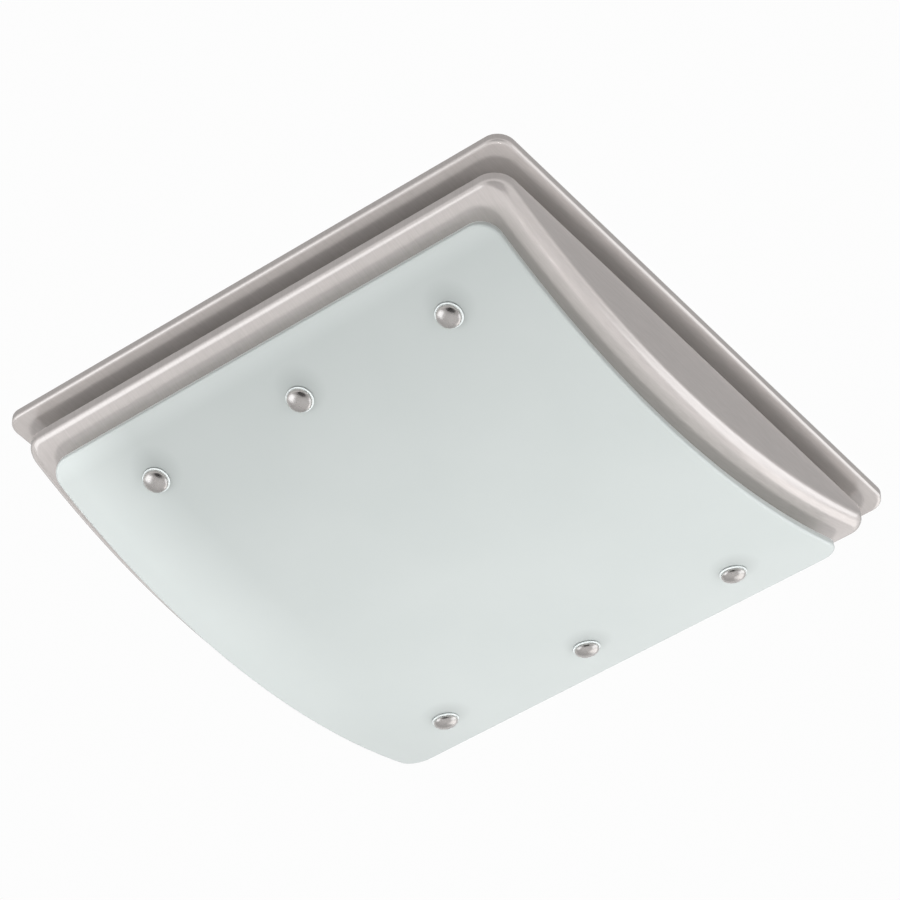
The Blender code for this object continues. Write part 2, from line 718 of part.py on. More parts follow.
def spring_brackets(surface):
    """Two bent tabs on the housing's side walls, from which the mounting springs hang."""
    for index, side in enumerate((-1, 1)):
        wall = HOUSING_INNER - SEAT_GAP
        tip = SPRING_X - SPRING_DIAMETER
        top = SPRING_BRACKET_Z
        outer = [(wall, top - SPRING_BRACKET_LEG), (wall, top), (tip, top)]
        inner_x = wall - BRACKET_SHEET
        inner = [(inner_x, top - SPRING_BRACKET_LEG), (inner_x, top - BRACKET_SHEET), (tip, top - BRACKET_SHEET)]
        shape = bmesh.new()
        add_bent_strip(
            shape,
            [(side * x, z) for x, z in outer],
            [(side * x, z) for x, z in inner],
            SPRING_TAB_WIDTH / 2,
        )
        add_object(f"spring_bracket_{index + 1}", shape, surface)


def mounting_springs(surface):
    """Two coil springs that pull the plate up: one unbroken wire each, with straight ends square to their seats."""
    low = PLATE_COLLAR_RISE - PLATE_SHEET + SEAT_GAP
    high = SPRING_BRACKET_Z - BRACKET_SHEET - SEAT_GAP
    radius = (SPRING_DIAMETER - SPRING_WIRE) / 2
    lead = 2 * SPRING_WIRE
    count = SPRING_TURNS * SPRING_POINTS_PER_TURN
    points = [Vector((radius, 0, low)), Vector((radius, 0, low + lead / 2))]
    for step in range(count + 1):
        share = step / count
        angle = FULL_TURN * SPRING_TURNS * share
        height = low + lead + (high - low - 2 * lead) * share
        points.append(Vector((radius * math.cos(angle), radius * math.sin(angle), height)))
    points.append(Vector((radius, 0, high - lead / 2)))
    points.append(Vector((radius, 0, high)))
    report_least_gap(points, SPRING_WIRE)
    for index, side in enumerate((-1, 1)):
        curve = bpy.data.curves.new(f"mounting_spring_{index + 1}", "CURVE")
        curve.dimensions = "3D"
        curve.bevel_depth = SPRING_WIRE / 2
        curve.bevel_resolution = 1
        curve.use_fill_caps = True
        spline = curve.splines.new("POLY")
        spline.points.add(len(points) - 1)
        for target, point in zip(spline.points, points):
            target.co = (*point, 1)
        curve.materials.append(surface)
        link_object(f"mounting_spring_{index + 1}", curve, Matrix.Translation((side * SPRING_X, 0, 0)))


def report_least_gap(points, wire):
    """Print the least gap between stretches of a coil that are more than half a turn apart along the wire."""
    apart = SPRING_POINTS_PER_TURN // 2
    least = min(
        (points[first] - points[second]).length
        for first in range(len(points))
        for second in range(first + apart, len(points))
    )
    print(f"least gap of the mounting spring to itself: {(least - wire) * 1000:.2f} mm")


def duct_collar(surface, pin_surface):
    """The round duct collar with its flange on the housing's side wall, and the pin that the damper hangs on."""
    inner = DUCT_DIAMETER / 2 - DUCT_SHEET
    outer = DUCT_DIAMETER / 2
    profile = [
        (inner, 0),
        (DUCT_FLANGE / 2, 0),
        (DUCT_FLANGE / 2, DUCT_SHEET),
        (outer, DUCT_SHEET),
        (outer, DUCT_LENGTH),
        (inner, DUCT_LENGTH),
    ]
    shape = bmesh.new()
    add_turned(shape, profile, DUCT_STEPS)
    add_object("duct_collar", shape, surface, turned_to((1, 0, 0), duct_start()))
    pin = bmesh.new()
    top = inner - DAMPER_PIN_INSET + DAMPER_PIN_DIAMETER / 2
    reach = math.sqrt(inner**2 - top**2) - 2 * SEAT_GAP
    add_rod(pin, DAMPER_PIN_DIAMETER / 2, -reach, reach, SMALL_ROUND_STEPS)
    add_object("damper_pin", pin, pin_surface, turned_to((0, 1, 0), damper_axis()))


def duct_start():
    """The middle of the duct collar's flange, on the housing's wall."""
    return Vector((HOUSING_SIDE / 2 + SEAT_GAP, DUCT_Y, (SCROLL_FLOOR_Z + SCROLL_TOP_Z) / 2))


def damper_axis():
    """The middle of the damper's pin, near the top of the collar's outer end."""
    rise = DUCT_DIAMETER / 2 - DUCT_SHEET - DAMPER_PIN_INSET
    return duct_start() + Vector((DAMPER_PLACE, 0, rise))


def damper_flap(surface):
    """The round flap that hangs on its pin by a knuckle and a neck, and swings out with the air."""
    radius = DUCT_DIAMETER / 2 - DUCT_SHEET - DAMPER_CLEARANCE
    hang = DUCT_DIAMETER / 2 - DUCT_SHEET - DAMPER_PIN_INSET
    chord = hang - DAMPER_NECK
    bore = DAMPER_PIN_DIAMETER / 2 + PIN_FIT
    neck = DAMPER_KNUCKLE_LENGTH / 2
    start = math.asin(chord / radius)
    sweep = FULL_TURN / 2 + 2 * start
    outline = []
    for step in range(ROUND_STEPS + 1):
        angle = start - sweep * step / ROUND_STEPS
        outline.append((radius * math.cos(angle), radius * math.sin(angle) - hang))
    knuckle_foot = -bore - DAMPER_KNUCKLE_WALL / 2
    outline += [(-neck, -DAMPER_NECK), (-neck, knuckle_foot), (neck, knuckle_foot), (neck, -DAMPER_NECK)]
    shape = bmesh.new()
    half = DAMPER_SHEET / 2
    add_rings(shape, [[(x, y, z) for y, z in outline] for x in (-half, half)])
    item = add_object("damper_flap", shape, surface, Matrix.Translation(damper_axis()))
    knuckle = bmesh.new()
    along_y = Matrix.Rotation(-FULL_TURN / 4, 4, "X")
    add_tube(knuckle, bore, bore + DAMPER_KNUCKLE_WALL, -neck, neck, SMALL_ROUND_STEPS, along_y)
    cut(item, knuckle, "UNION")
    return item


def blower_plate(surface):
    """The sheet across the housing that carries the blower, with a round inlet and its turned-up lip."""
    reach = HOUSING_INNER - SLIP_GAP
    shape = bmesh.new()
    outline = rounded_outline(reach, reach, HOUSING_CORNER)
    add_prism(shape, outline, BLOWER_PLATE_Z, BLOWER_PLATE_Z + BLOWER_PLATE_SHEET)
    item = add_object("blower_plate", shape, surface)
    centre = Matrix.Translation((WHEEL_X, WHEEL_Y, 0))
    lip = bmesh.new()
    lip_top = BLOWER_PLATE_Z + INLET_LIP_HEIGHT
    add_rod(lip, INLET_DIAMETER / 2 + BLOWER_PLATE_SHEET, BLOWER_PLATE_Z, lip_top, DUCT_STEPS, centre)
    cut(item, lip, "UNION")
    hole = bmesh.new()
    add_rod(hole, INLET_DIAMETER / 2, BLOWER_PLATE_Z - OVERRUN, lip_top + OVERRUN, DUCT_STEPS, centre)
    cut(item, hole)
    return item


def offset_path(points, distance):
    """Shift an open path of 2-D points to its right by a distance, with mitred corners."""
    moved = []
    for index, point in enumerate(points):
        normals = []
        for first, second in ((index - 1, index), (index, index + 1)):
            if first >= 0 and second < len(points):
                along = (points[second] - points[first]).normalized()
                normals.append(Vector((along.y, -along.x)))
        bisector = normals[0] + normals[-1]
        moved.append(point + bisector * distance / (1 + normals[0].dot(normals[-1])))
    return moved


def scroll(surface):
    """The spiral wall round the wheel, from the tongue to the outlet, with its radius growing steadily with angle."""
    end_x = HOUSING_INNER - SLIP_GAP
    centre = Vector((WHEEL_X, WHEEL_Y))
    path = []
    for step in range(SCROLL_STEPS + 1):
        share = step / SCROLL_STEPS
        angle = math.radians(SCROLL_START_DEGREES + (SCROLL_END_DEGREES - SCROLL_START_DEGREES) * share)
        radius = SCROLL_START_RADIUS + (SCROLL_END_RADIUS - SCROLL_START_RADIUS) * share
        path.append(centre + radius * Vector((math.cos(angle), math.sin(angle))))
    path.insert(0, Vector((end_x, path[0].y + SCROLL_FLARE)))
    path.append(Vector((end_x, path[-1].y - SCROLL_FLARE)))
    outline = path + offset_path(path, SCROLL_SHEET)[::-1]
    shape = bmesh.new()
    add_prism(shape, outline, SCROLL_FLOOR_Z, SCROLL_TOP_Z)
    return add_object("scroll", shape, surface)


def scroll_cover(surface):
    """The flat sheet on top of the scroll that carries the motor, with a hole for the shaft."""
    reach = HOUSING_INNER - 2 * SLIP_GAP
    shape = bmesh.new()
    add_prism(shape, rounded_outline(reach, reach, HOUSING_CORNER), COVER_Z, COVER_TOP_Z)
    item = add_object("scroll_cover", shape, surface)
    hole = bmesh.new()
    centre = Matrix.Translation((WHEEL_X, WHEEL_Y, 0))
    add_rod(hole, COVER_HOLE / 2, COVER_Z - OVERRUN, COVER_TOP_Z + OVERRUN, ROUND_STEPS, centre)
    cut(item, hole)
    return item


def blower_wheel(surface):
    """The squirrel-cage wheel: forward-curved blades between a top disc with a hub and a bottom ring."""
    outer = WHEEL_DIAMETER / 2
    tip = outer - WHEEL_RING_WALL / 3
    root = outer - WHEEL_BLADE_DEPTH
    bore = SHAFT_DIAMETER / 2 + SEAT_GAP
    centre = Matrix.Translation((WHEEL_X, WHEEL_Y, WHEEL_FLOOR_Z))
    hub_low = WHEEL_BLADE_HEIGHT - WHEEL_HUB_LENGTH
    hub = WHEEL_HUB_DIAMETER / 2
    top = WHEEL_BLADE_HEIGHT + WHEEL_DISC_SHEET
    shape = bmesh.new()
    profile = [
        (bore, hub_low),
        (hub, hub_low),
        (hub, WHEEL_BLADE_HEIGHT),
        (outer, WHEEL_BLADE_HEIGHT),
        (outer, top),
        (bore, top),
    ]
    add_turned(shape, profile, DUCT_STEPS)
    item = add_object("blower_wheel", shape, surface, centre)
    blades = bmesh.new()
    for blade in range(WHEEL_BLADES):
        start = FULL_TURN * blade / WHEEL_BLADES
        path = []
        for step in range(4):
            share = step / 3
            radius = root + (tip - root) * share
            angle = start + BLADE_SWEEP * share**2
            path.append(Vector((radius * math.cos(angle), radius * math.sin(angle))))
        outline = offset_path(path, WHEEL_BLADE_SHEET / 2) + offset_path(path, -WHEEL_BLADE_SHEET / 2)[::-1]
        add_prism(blades, outline, WHEEL_RING_HEIGHT / 4, WHEEL_BLADE_HEIGHT + WHEEL_DISC_SHEET / 2)
    cut(item, blades, "UNION")
    ring = bmesh.new()
    add_tube(ring, outer - WHEEL_RING_WALL, outer, 0, WHEEL_RING_HEIGHT, DUCT_STEPS)
    cut(item, ring, "UNION")
    return item


def motor(steel, copper, bright):
    """The shaded-pole motor: lamination stack, coil, rotor, shaft, two bearing straps and two posts."""
    centre = Matrix.Translation((WHEEL_X, WHEEL_Y, 0))
    near_y = -(STATOR_BORE / 2 + STATOR_POLE)
    far_y = near_y + STATOR_Y
    half_x = STATOR_X / 2
    leg_y = far_y - COIL_LEG_Y
    shape = bmesh.new()
    add_box(shape, (-half_x, near_y, STATOR_Z), (half_x, far_y, STATOR_TOP_Z))
    stator = add_object("motor_stator", shape, steel, centre)
    holes = bmesh.new()
    add_rod(holes, STATOR_BORE / 2, STATOR_Z - OVERRUN, STATOR_TOP_Z + OVERRUN, ROUND_STEPS)
    window = STATOR_WINDOW_X / 2
    window_low = (-window, leg_y - STATOR_WINDOW_Y, STATOR_Z - OVERRUN)
    add_box(holes, window_low, (window, leg_y, STATOR_TOP_Z + OVERRUN))
    cut(stator, holes)
    coil = bmesh.new()
    wrap = COIL_WALL + SEAT_GAP
    half_coil = COIL_LENGTH / 2
    low = (-half_coil, leg_y - wrap, STATOR_Z - wrap)
    high = (half_coil, far_y + wrap, STATOR_TOP_Z + wrap)
    add_box(coil, low, high)
    coil_item = add_object("motor_coil", coil, copper, centre)
    core = bmesh.new()
    core_low = (-half_coil - OVERRUN, leg_y - SEAT_GAP, STATOR_Z - SEAT_GAP)
    core_high = (half_coil + OVERRUN, far_y + SEAT_GAP, STATOR_TOP_Z + SEAT_GAP)
    add_box(core, core_low, core_high)
    cut(coil_item, core)
    rotor = bmesh.new()
    shaft = SHAFT_DIAMETER / 2
    add_tube(rotor, shaft + SEAT_GAP, ROTOR_DIAMETER / 2, STATOR_Z, STATOR_TOP_Z, ROUND_STEPS)
    add_object("motor_rotor", rotor, bright, centre)
    rod = bmesh.new()
    shaft_low = WHEEL_DISC_Z - WHEEL_HUB_LENGTH - SHAFT_HUB_PASS
    add_rod(rod, shaft, shaft_low, SHAFT_TOP_Z, ROUND_STEPS)
    add_object("motor_shaft", rod, bright, centre)
    for name, level, flip in (("bearing_strap_upper", STATOR_TOP_Z, 1), ("bearing_strap_lower", STATOR_Z, -1)):
        bearing_strap(name, level + flip * SEAT_GAP, flip, bright)
    posts = bmesh.new()
    post_low = COVER_TOP_Z + SEAT_GAP
    add_rod(posts, MOTOR_POST_DIAMETER / 2, post_low, STATOR_Z - SEAT_GAP, SMALL_ROUND_STEPS)
    first = None
    for index, side in enumerate((-1, 1)):
        x = side * (half_x - MOTOR_POST_DIAMETER)
        y = far_y - MOTOR_POST_DIAMETER if index else near_y + MOTOR_POST_DIAMETER
        place = centre @ Matrix.Translation((x, y, 0))
        name = f"motor_post_{index + 1}"
        if first is None:
            first = add_object(name, posts, bright, place)
        else:
            link_object(name, first.data, place)


def bearing_strap(name, level, flip, surface):
    """A hat-shaped strap along X across the rotor, with a bearing boss in its middle."""
    half_x = STATOR_X / 2
    knee = half_x - BEARING_FOOT
    crown = knee - BEARING_RISE / 2
    place = Matrix.Translation((WHEEL_X, WHEEL_Y, level)) @ Matrix.Diagonal((1, 1, flip, 1))
    upper = [(half_x, BEARING_SHEET), (knee, BEARING_SHEET), (crown, BEARING_RISE + BEARING_SHEET)]
    lower = [(half_x, 0), (knee - BEARING_SHEET, 0), (crown - BEARING_SHEET, BEARING_RISE)]
    top_line = upper + [(-x, z) for x, z in reversed(upper)]
    under_line = lower + [(-x, z) for x, z in reversed(lower)]
    shape = bmesh.new()
    add_bent_strip(shape, top_line, under_line, BEARING_WIDTH / 2)
    bmesh.ops.transform(shape, matrix=place, verts=shape.verts)
    item = add_object(name, shape, surface)
    boss = bmesh.new()
    add_rod(boss, BEARING_BOSS / 2, BEARING_RISE / 2, BEARING_RISE + BEARING_SHEET, ROUND_STEPS, place)
    cut(item, boss, "UNION")
    hole = bmesh.new()
    bore = SHAFT_DIAMETER / 2 + PIN_FIT
    add_rod(hole, bore, -OVERRUN, BEARING_RISE + BEARING_SHEET + OVERRUN, ROUND_STEPS, place)
    cut(item, hole)
    return item


def wiring_box(surface, dark):
    """The wiring box in the housing's corner: a shell open below, its cover, two sockets and the cable clamp."""
    right = HOUSING_INNER - SEAT_GAP
    centre_x = cable_x()
    centre_y = right - WIRING_Y / 2
    top = BLOWER_PLATE_Z - SEAT_GAP
    low = top - WIRING_HEIGHT
    place = Matrix.Translation((centre_x, centre_y, 0))
    shape = bmesh.new()
    rings = []
    for inset, height in ((WIRING_SHEET, top - WIRING_SHEET), (WIRING_SHEET, low), (0, low), (0, top)):
        corner = WIRING_CORNER - inset
        outline = rounded_outline(WIRING_X / 2 - inset, WIRING_Y / 2 - inset, corner)
        rings.append([(x, y, height) for x, y in outline])
    add_rings(shape, rings)
    item = add_object("wiring_box", shape, surface, place)
    hole = bmesh.new()
    hole_place = turned_to((0, 1, 0), (0, WIRING_Y / 2, cable_z()))
    add_rod(hole, CLAMP_BORE / 2, -OVERRUN, OVERRUN, ROUND_STEPS, hole_place)
    cut(item, hole)
    cover = bmesh.new()
    outline = rounded_outline(WIRING_X / 2, WIRING_Y / 2, WIRING_CORNER)
    add_prism(cover, outline, low - SEAT_GAP - WIRING_SHEET, low - SEAT_GAP)
    add_object("wiring_cover", cover, surface, place)
    for index, side in enumerate((-1, 1)):
        foot = (centre_x - WIRING_X / 2 - SEAT_GAP, centre_y + side * SOCKET_SPACING / 2, (top + low) / 2)
        out = turned_to((-1, 0, 0), foot)
        socket = bmesh.new()
        add_box(socket, (-SOCKET_HEIGHT / 2, -SOCKET_WIDTH / 2, 0), (SOCKET_HEIGHT / 2, SOCKET_WIDTH / 2, SOCKET_DEPTH))
        socket_item = add_object(f"socket_{index + 1}", socket, dark, out)
        pins = bmesh.new()
        for column in (-1, 0, 1):
            pin_place = Matrix.Translation((0, column * SOCKET_WIDTH / 3.5, 0))
            add_rod(pins, SOCKET_PIN_HOLE / 2, SOCKET_DEPTH / 3, SOCKET_DEPTH + OVERRUN, SMALL_ROUND_STEPS, pin_place)
        cut(socket_item, pins)
    clamp = bmesh.new()
    bore = CLAMP_BORE / 2
    clamp_profile = [
        (bore, 0),
        (CLAMP_FLANGE / 2, 0),
        (CLAMP_FLANGE / 2, CLAMP_FLANGE_THICK),
        (CLAMP_DIAMETER / 2, CLAMP_FLANGE_THICK),
        (CLAMP_DIAMETER / 2, CLAMP_REACH),
        (bore, CLAMP_REACH),
    ]
    add_turned(clamp, clamp_profile, ROUND_STEPS)
    foot = (centre_x, HOUSING_SIDE / 2 + SEAT_GAP, cable_z())
    add_object("cable_clamp", clamp, surface, turned_to((0, 1, 0), foot))


def main():
    clear_scene()
    nickel = finish("brushed_nickel", (0.58, 0.56, 0.54), 0.34, 1.0)
    polished = finish("polished_nickel", (0.66, 0.65, 0.63), 0.18, 1.0)
    frosted = finish("frosted_glass", (0.86, 0.90, 0.88), 0.35, 0.0)
    clear_plastic = finish("clear_plastic", (0.92, 0.93, 0.92), 0.25, 0.0)
    white = finish("white_enamel", (0.88, 0.88, 0.86), 0.40, 0.0)
    opal = finish("opal_glass", (0.93, 0.92, 0.88), 0.30, 0.0)
    brass = finish("cap_metal", (0.70, 0.66, 0.52), 0.35, 1.0)
    galvanised = finish("galvanised_steel", (0.60, 0.62, 0.64), 0.45, 1.0)
    spring_steel = finish("spring_steel", (0.42, 0.42, 0.43), 0.35, 1.0)
    lamination = finish("lamination_steel", (0.26, 0.27, 0.29), 0.50, 1.0)
    winding = finish("coil_wrap", (0.55, 0.34, 0.12), 0.45, 0.0)
    shaft_steel = finish("shaft_steel", (0.62, 0.62, 0.62), 0.25, 1.0)
    wheel_plastic = finish("wheel_plastic", (0.08, 0.08, 0.09), 0.45, 0.0)
    dark_plastic = finish("dark_plastic", (0.10, 0.10, 0.11), 0.50, 0.0)
    trim_plate(nickel)
    light_frame(nickel)
    reflector_pan(white)
    standoffs(galvanised)
    glass_panel(frosted)
    glass_fasteners(polished, clear_plastic)
    lamps(white, opal, brass)
    housing(galvanised)
    spring_brackets(galvanised)
    mounting_springs(spring_steel)
    duct_collar(galvanised, shaft_steel)
    damper_flap(galvanised)
    blower_plate(galvanised)
    scroll(galvanised)
    scroll_cover(galvanised)
    blower_wheel(wheel_plastic)
    motor(lamination, winding, shaft_steel)
    wiring_box(galvanised, dark_plastic)


main()
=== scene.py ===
# %% [markdown]
# # A ceiling fan with a light, dressed for its picture
# The fan's frame comes in already built: every sheet, knob, lamp and blower part has its place and real
# size. These cells give each piece its finish, make finer surfaces for what the eye follows, and set up a
# small studio that looks up at the ceiling from below.

# %% Load the frame
import json
import math

import bpy
import numpy as np
from mathutils import Matrix, Vector


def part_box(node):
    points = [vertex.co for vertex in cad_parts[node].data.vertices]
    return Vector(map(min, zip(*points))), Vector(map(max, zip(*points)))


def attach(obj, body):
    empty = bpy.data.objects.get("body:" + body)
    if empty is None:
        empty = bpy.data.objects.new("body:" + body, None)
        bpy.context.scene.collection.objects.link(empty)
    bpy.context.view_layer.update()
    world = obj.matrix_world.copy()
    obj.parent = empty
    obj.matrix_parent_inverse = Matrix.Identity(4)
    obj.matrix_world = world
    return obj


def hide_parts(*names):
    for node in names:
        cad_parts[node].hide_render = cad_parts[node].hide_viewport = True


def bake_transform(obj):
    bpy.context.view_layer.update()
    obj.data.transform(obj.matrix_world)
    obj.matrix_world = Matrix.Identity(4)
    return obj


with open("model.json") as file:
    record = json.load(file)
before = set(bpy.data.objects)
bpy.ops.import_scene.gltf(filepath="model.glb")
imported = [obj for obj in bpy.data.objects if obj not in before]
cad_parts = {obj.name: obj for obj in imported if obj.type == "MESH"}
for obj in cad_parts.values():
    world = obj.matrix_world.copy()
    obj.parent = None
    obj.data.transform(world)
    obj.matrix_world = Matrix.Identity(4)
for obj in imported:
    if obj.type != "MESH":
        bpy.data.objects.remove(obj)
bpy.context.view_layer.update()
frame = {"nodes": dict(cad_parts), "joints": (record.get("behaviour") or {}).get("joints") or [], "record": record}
MM = 0.001
print("nodes in the frame:", len(frame["nodes"]))

# %% [markdown]
# Most new pieces are grids: rows of points that follow one direction of the shape and columns that follow
# the other. A whole grid goes into a mesh at once, which is quick and keeps the formula of the shape in
# plain sight.


# %% Put a grid of points into a mesh
SMOOTH_DEGREES = 30


def sheet_faces(rows, columns, wrap_rows, wrap_columns):
    """Corner numbers of the four-sided faces between neighbouring rows and columns of a grid."""
    row = np.arange(rows if wrap_rows else rows - 1)
    column = np.arange(columns if wrap_columns else columns - 1)
    row, column = (axis.ravel() for axis in np.meshgrid(row, column, indexing="ij"))
    next_row = (row + 1) % rows
    next_column = (column + 1) % columns
    corners = (
        row * columns + column,
        row * columns + next_column,
        next_row * columns + next_column,
        next_row * columns + column,
    )
    return np.stack(corners, axis=1)


def piece_from(name, points, faces, smooth_degrees=SMOOTH_DEGREES):
    """A mesh object at the origin from an array of points and a list of faces, smooth where it is round."""
    mesh = bpy.data.meshes.new(name)
    mesh.from_pydata(points.reshape(-1, 3).tolist(), [], [tuple(face) for face in faces])
    mesh.validate()
    mesh.shade_smooth()
    mesh.set_sharp_from_angle(angle=math.radians(smooth_degrees))
    piece = bpy.data.objects.new(name, mesh)
    bpy.context.scene.collection.objects.link(piece)
    return piece


def swept_piece(name, rings, wrap=True):
    """Rings of points joined in turn; with wrap the last joins the first, as round a sheet's cut edge."""
    faces = sheet_faces(rings.shape[0], rings.shape[1], wrap, True)
    return piece_from(name, rings, faces)


print("faces in a grid of 3 by 4 points:", len(sheet_faces(3, 4, False, False)))

# %% [markdown]
# The plate and the light frame are both pressed from sheet metal with a square, round-cornered outline. One
# function gives that outline, and a list of insets and heights carries it over the lip, the face and back
# inside.


# %% The outline of a round-cornered square, as a whole array
CORNER_PARTS = 20
SIDE_PARTS = 72


def outline(half_x, half_y, corner):
    """Quarter circles at the four corners, joined by evenly divided sides; anticlockwise, as (x, y)."""
    turn = np.linspace(0, math.pi / 2, CORNER_PARTS + 1)
    arc = np.stack((np.cos(turn), np.sin(turn)), axis=1) * corner
    parts = []
    for quarter, (sign_x, sign_y) in enumerate(((1, 1), (-1, 1), (-1, -1), (1, -1))):
        angle = quarter * math.pi / 2
        spin = np.array(((math.cos(angle), math.sin(angle)), (-math.sin(angle), math.cos(angle))))
        centre = np.array((sign_x * (half_x - corner), sign_y * (half_y - corner)))
        parts.append(arc @ spin + centre)
    sides = []
    for quarter in range(4):
        start = parts[quarter][-1]
        end = parts[(quarter + 1) % 4][0]
        share = np.arange(1, SIDE_PARTS)[:, None] / SIDE_PARTS
        sides.append(start + (end - start) * share)
    return np.concatenate([part for pair in zip(parts, sides) for part in pair])


def arc_profile(centre, radius, start, end, steps):
    """Points of a round edge: a circle's arc between two angles in degrees, as (inset, height)."""
    angle = np.radians(np.linspace(start, end, steps + 1))
    return [(centre[0] + radius * math.cos(a), centre[1] + radius * math.sin(a)) for a in angle]


print("points in one outline:", len(outline(1.0, 1.0, 0.1)))

# %% [markdown]
# Sizes are read from the frame where a box gives them, and the few that no box shows are named here.

# %% Sizes of the visible metalwork
plate_low, plate_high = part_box("trim_plate")
frame_low, frame_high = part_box("light_frame")
_, glass_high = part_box("glass_panel")
PLATE_HALF = plate_high.x
PLATE_CORNER = 12 * MM
PLATE_FACE_Z = plate_low.z
PLATE_ROUND = 2.2 * MM
PLATE_SHEET = 1.2 * MM
PLATE_MOUTH = 125 * MM
PLATE_MOUTH_CORNER = 10 * MM
COLLAR_TOP_Z = plate_high.z
FRAME_HALF_X = frame_high.x
FRAME_HALF_Y = frame_high.y
FRAME_CORNER = 15 * MM
FRAME_TOP_Z = frame_high.z
FRAME_WALL = 7.6 * MM
FRAME_EDGE_ROUND = 2.2 * MM
FRAME_SIDE_ROUND = 7.8 * MM
FRAME_SHEET = 1.2 * MM
WALL_STEP = 0.8 * MM
FRAME_MOUTH = (150 * MM, 125 * MM, 8 * MM)
FACE_RISE = FRAME_TOP_Z - FRAME_WALL - frame_low.z
FACE_RADIUS = (FRAME_HALF_Y**2 + FACE_RISE**2) / (2 * FACE_RISE)
FACE_CENTRE_Z = frame_low.z + FACE_RADIUS
ARCH_START = 10 * MM
ARCH_RISE = 41.5 * MM
ARCH_RADIUS = (FRAME_HALF_Y**2 + ARCH_RISE**2) / (2 * ARCH_RISE)
ARCH_CENTRE_Z = FRAME_TOP_Z - ARCH_START - ARCH_RISE + ARCH_RADIUS
GLASS_GAP = 6.8 * MM
GLASS_THICK = 5 * MM
GLASS_HALF_X = glass_high.x
GLASS_CORNER = 15 * MM
GLASS_ROUND = 1.8 * MM
GLASS_ARRIS = 0.5 * MM
print(f"face radius {FACE_RADIUS / MM:.1f} mm, glass arc radius {ARCH_RADIUS / MM:.1f} mm")


def face_height(y):
    """Height of the frame's arched face at y: z = centre - sqrt(radius^2 - y^2), a circle's lower side."""
    return FACE_CENTRE_Z - np.sqrt(FACE_RADIUS**2 - y**2)


# %% [markdown]
# The trim plate is a shallow tray of one thickness. On a real one the lip is folded up all round and the
# middle is pressed up into a collar. Its section is a closed line, so the sheet has both of its sides and a
# cut edge.

# %% Sweep the trim plate
LIP_STEPS = 8
lip_centre = (PLATE_HALF - PLATE_ROUND, PLATE_FACE_Z + PLATE_ROUND)
collar_outside = PLATE_MOUTH + PLATE_SHEET
lip_inside = PLATE_HALF - PLATE_SHEET
plate_inside_z = PLATE_FACE_Z + PLATE_SHEET
plate_profile = [(PLATE_HALF, 0.0)]
plate_profile += arc_profile(lip_centre, PLATE_ROUND, 0, -90, LIP_STEPS)
plate_profile += [(PLATE_MOUTH, PLATE_FACE_Z), (PLATE_MOUTH, COLLAR_TOP_Z)]
plate_profile += [(collar_outside, COLLAR_TOP_Z), (collar_outside, plate_inside_z)]
plate_profile += [(lip_centre[0], plate_inside_z), (lip_inside, lip_centre[1]), (lip_inside, 0.0)]


def plate_ring(reach, height):
    """The plate's outline at one reach from the middle; its corner shrinks evenly towards the mouth."""
    share = (reach - PLATE_MOUTH) / (PLATE_HALF - PLATE_MOUTH)
    corner = PLATE_MOUTH_CORNER + (PLATE_CORNER - PLATE_MOUTH_CORNER) * share
    flat = outline(reach, reach, corner)
    return np.column_stack((flat, np.full(len(flat), height)))


plate = swept_piece("trim_plate_skin", np.stack([plate_ring(*point) for point in reversed(plate_profile)]))
print("plate faces:", len(plate.data.polygons))

# %% [markdown]
# The spring tabs are two small strips bent in from the collar. They are kept as plain thin blocks with
# their edges taken off, because they sit up inside the housing.


# %% Round-edged blocks for tabs and other small sheet pieces
def block_piece(name, boxes, edge=0.2 * MM):
    """Boxes given by two corners each, in one mesh, with their edges bevelled."""
    signs = np.array([(x, y, z) for x in (0, 1) for y in (0, 1) for z in (0, 1)], dtype=float)
    points = [np.array(low) + (np.array(high) - np.array(low)) * signs for low, high in boxes]
    sides = ((0, 1, 3, 2), (4, 6, 7, 5), (0, 4, 5, 1), (2, 3, 7, 6), (0, 2, 6, 4), (1, 5, 7, 3))
    faces = [[8 * index + corner for corner in side] for index in range(len(boxes)) for side in sides]
    piece = piece_from(name, np.concatenate(points), faces)
    bevel = piece.modifiers.new("edges", "BEVEL")
    bevel.width = edge
    bevel.segments = 2
    return piece


TAB_REACH = 18 * MM
TAB_HALF = 6 * MM
tab_boxes = []
for side in (-1, 1):
    ends = sorted((side * (PLATE_MOUTH + PLATE_SHEET / 2), side * (PLATE_MOUTH - TAB_REACH)))
    tab_z = COLLAR_TOP_Z - 2 * PLATE_SHEET
    tab_boxes.append(((ends[0], -TAB_HALF, tab_z), (ends[1], TAB_HALF, tab_z + PLATE_SHEET)))
tabs = block_piece("spring_tabs", tab_boxes)
print("spring tabs:", len(tab_boxes))

# %% [markdown]
# The light frame's wall is level at the top, and its lower line follows an arch. From that line the sheet
# rolls over to the face on a quarter ellipse, wider along the arched sides than at the ends. So each point
# of the outline carries its own way in and its own edge radius, and every ring of the grid moves along
# those.

# %% Sweep the light frame
FACE_STEPS = 14
EDGE_STEPS = 12
CUT_EDGE = 0.3 * MM
rim_line = outline(FRAME_HALF_X, FRAME_HALF_Y, FRAME_CORNER)
inner_line = outline(FRAME_HALF_X - FRAME_SHEET, FRAME_HALF_Y - FRAME_SHEET, FRAME_CORNER - FRAME_SHEET)
mouth_line = outline(*FRAME_MOUTH)
inward = (inner_line - rim_line) / FRAME_SHEET
edge_round = FRAME_EDGE_ROUND + (FRAME_SIDE_ROUND - FRAME_EDGE_ROUND) * inward[:, 0] ** 2


def top_ring(inset, drop):
    """The outline drawn in by inset, a drop under the frame's level top."""
    return np.column_stack((rim_line + inward * inset, np.full(len(rim_line), FRAME_TOP_Z - drop)))


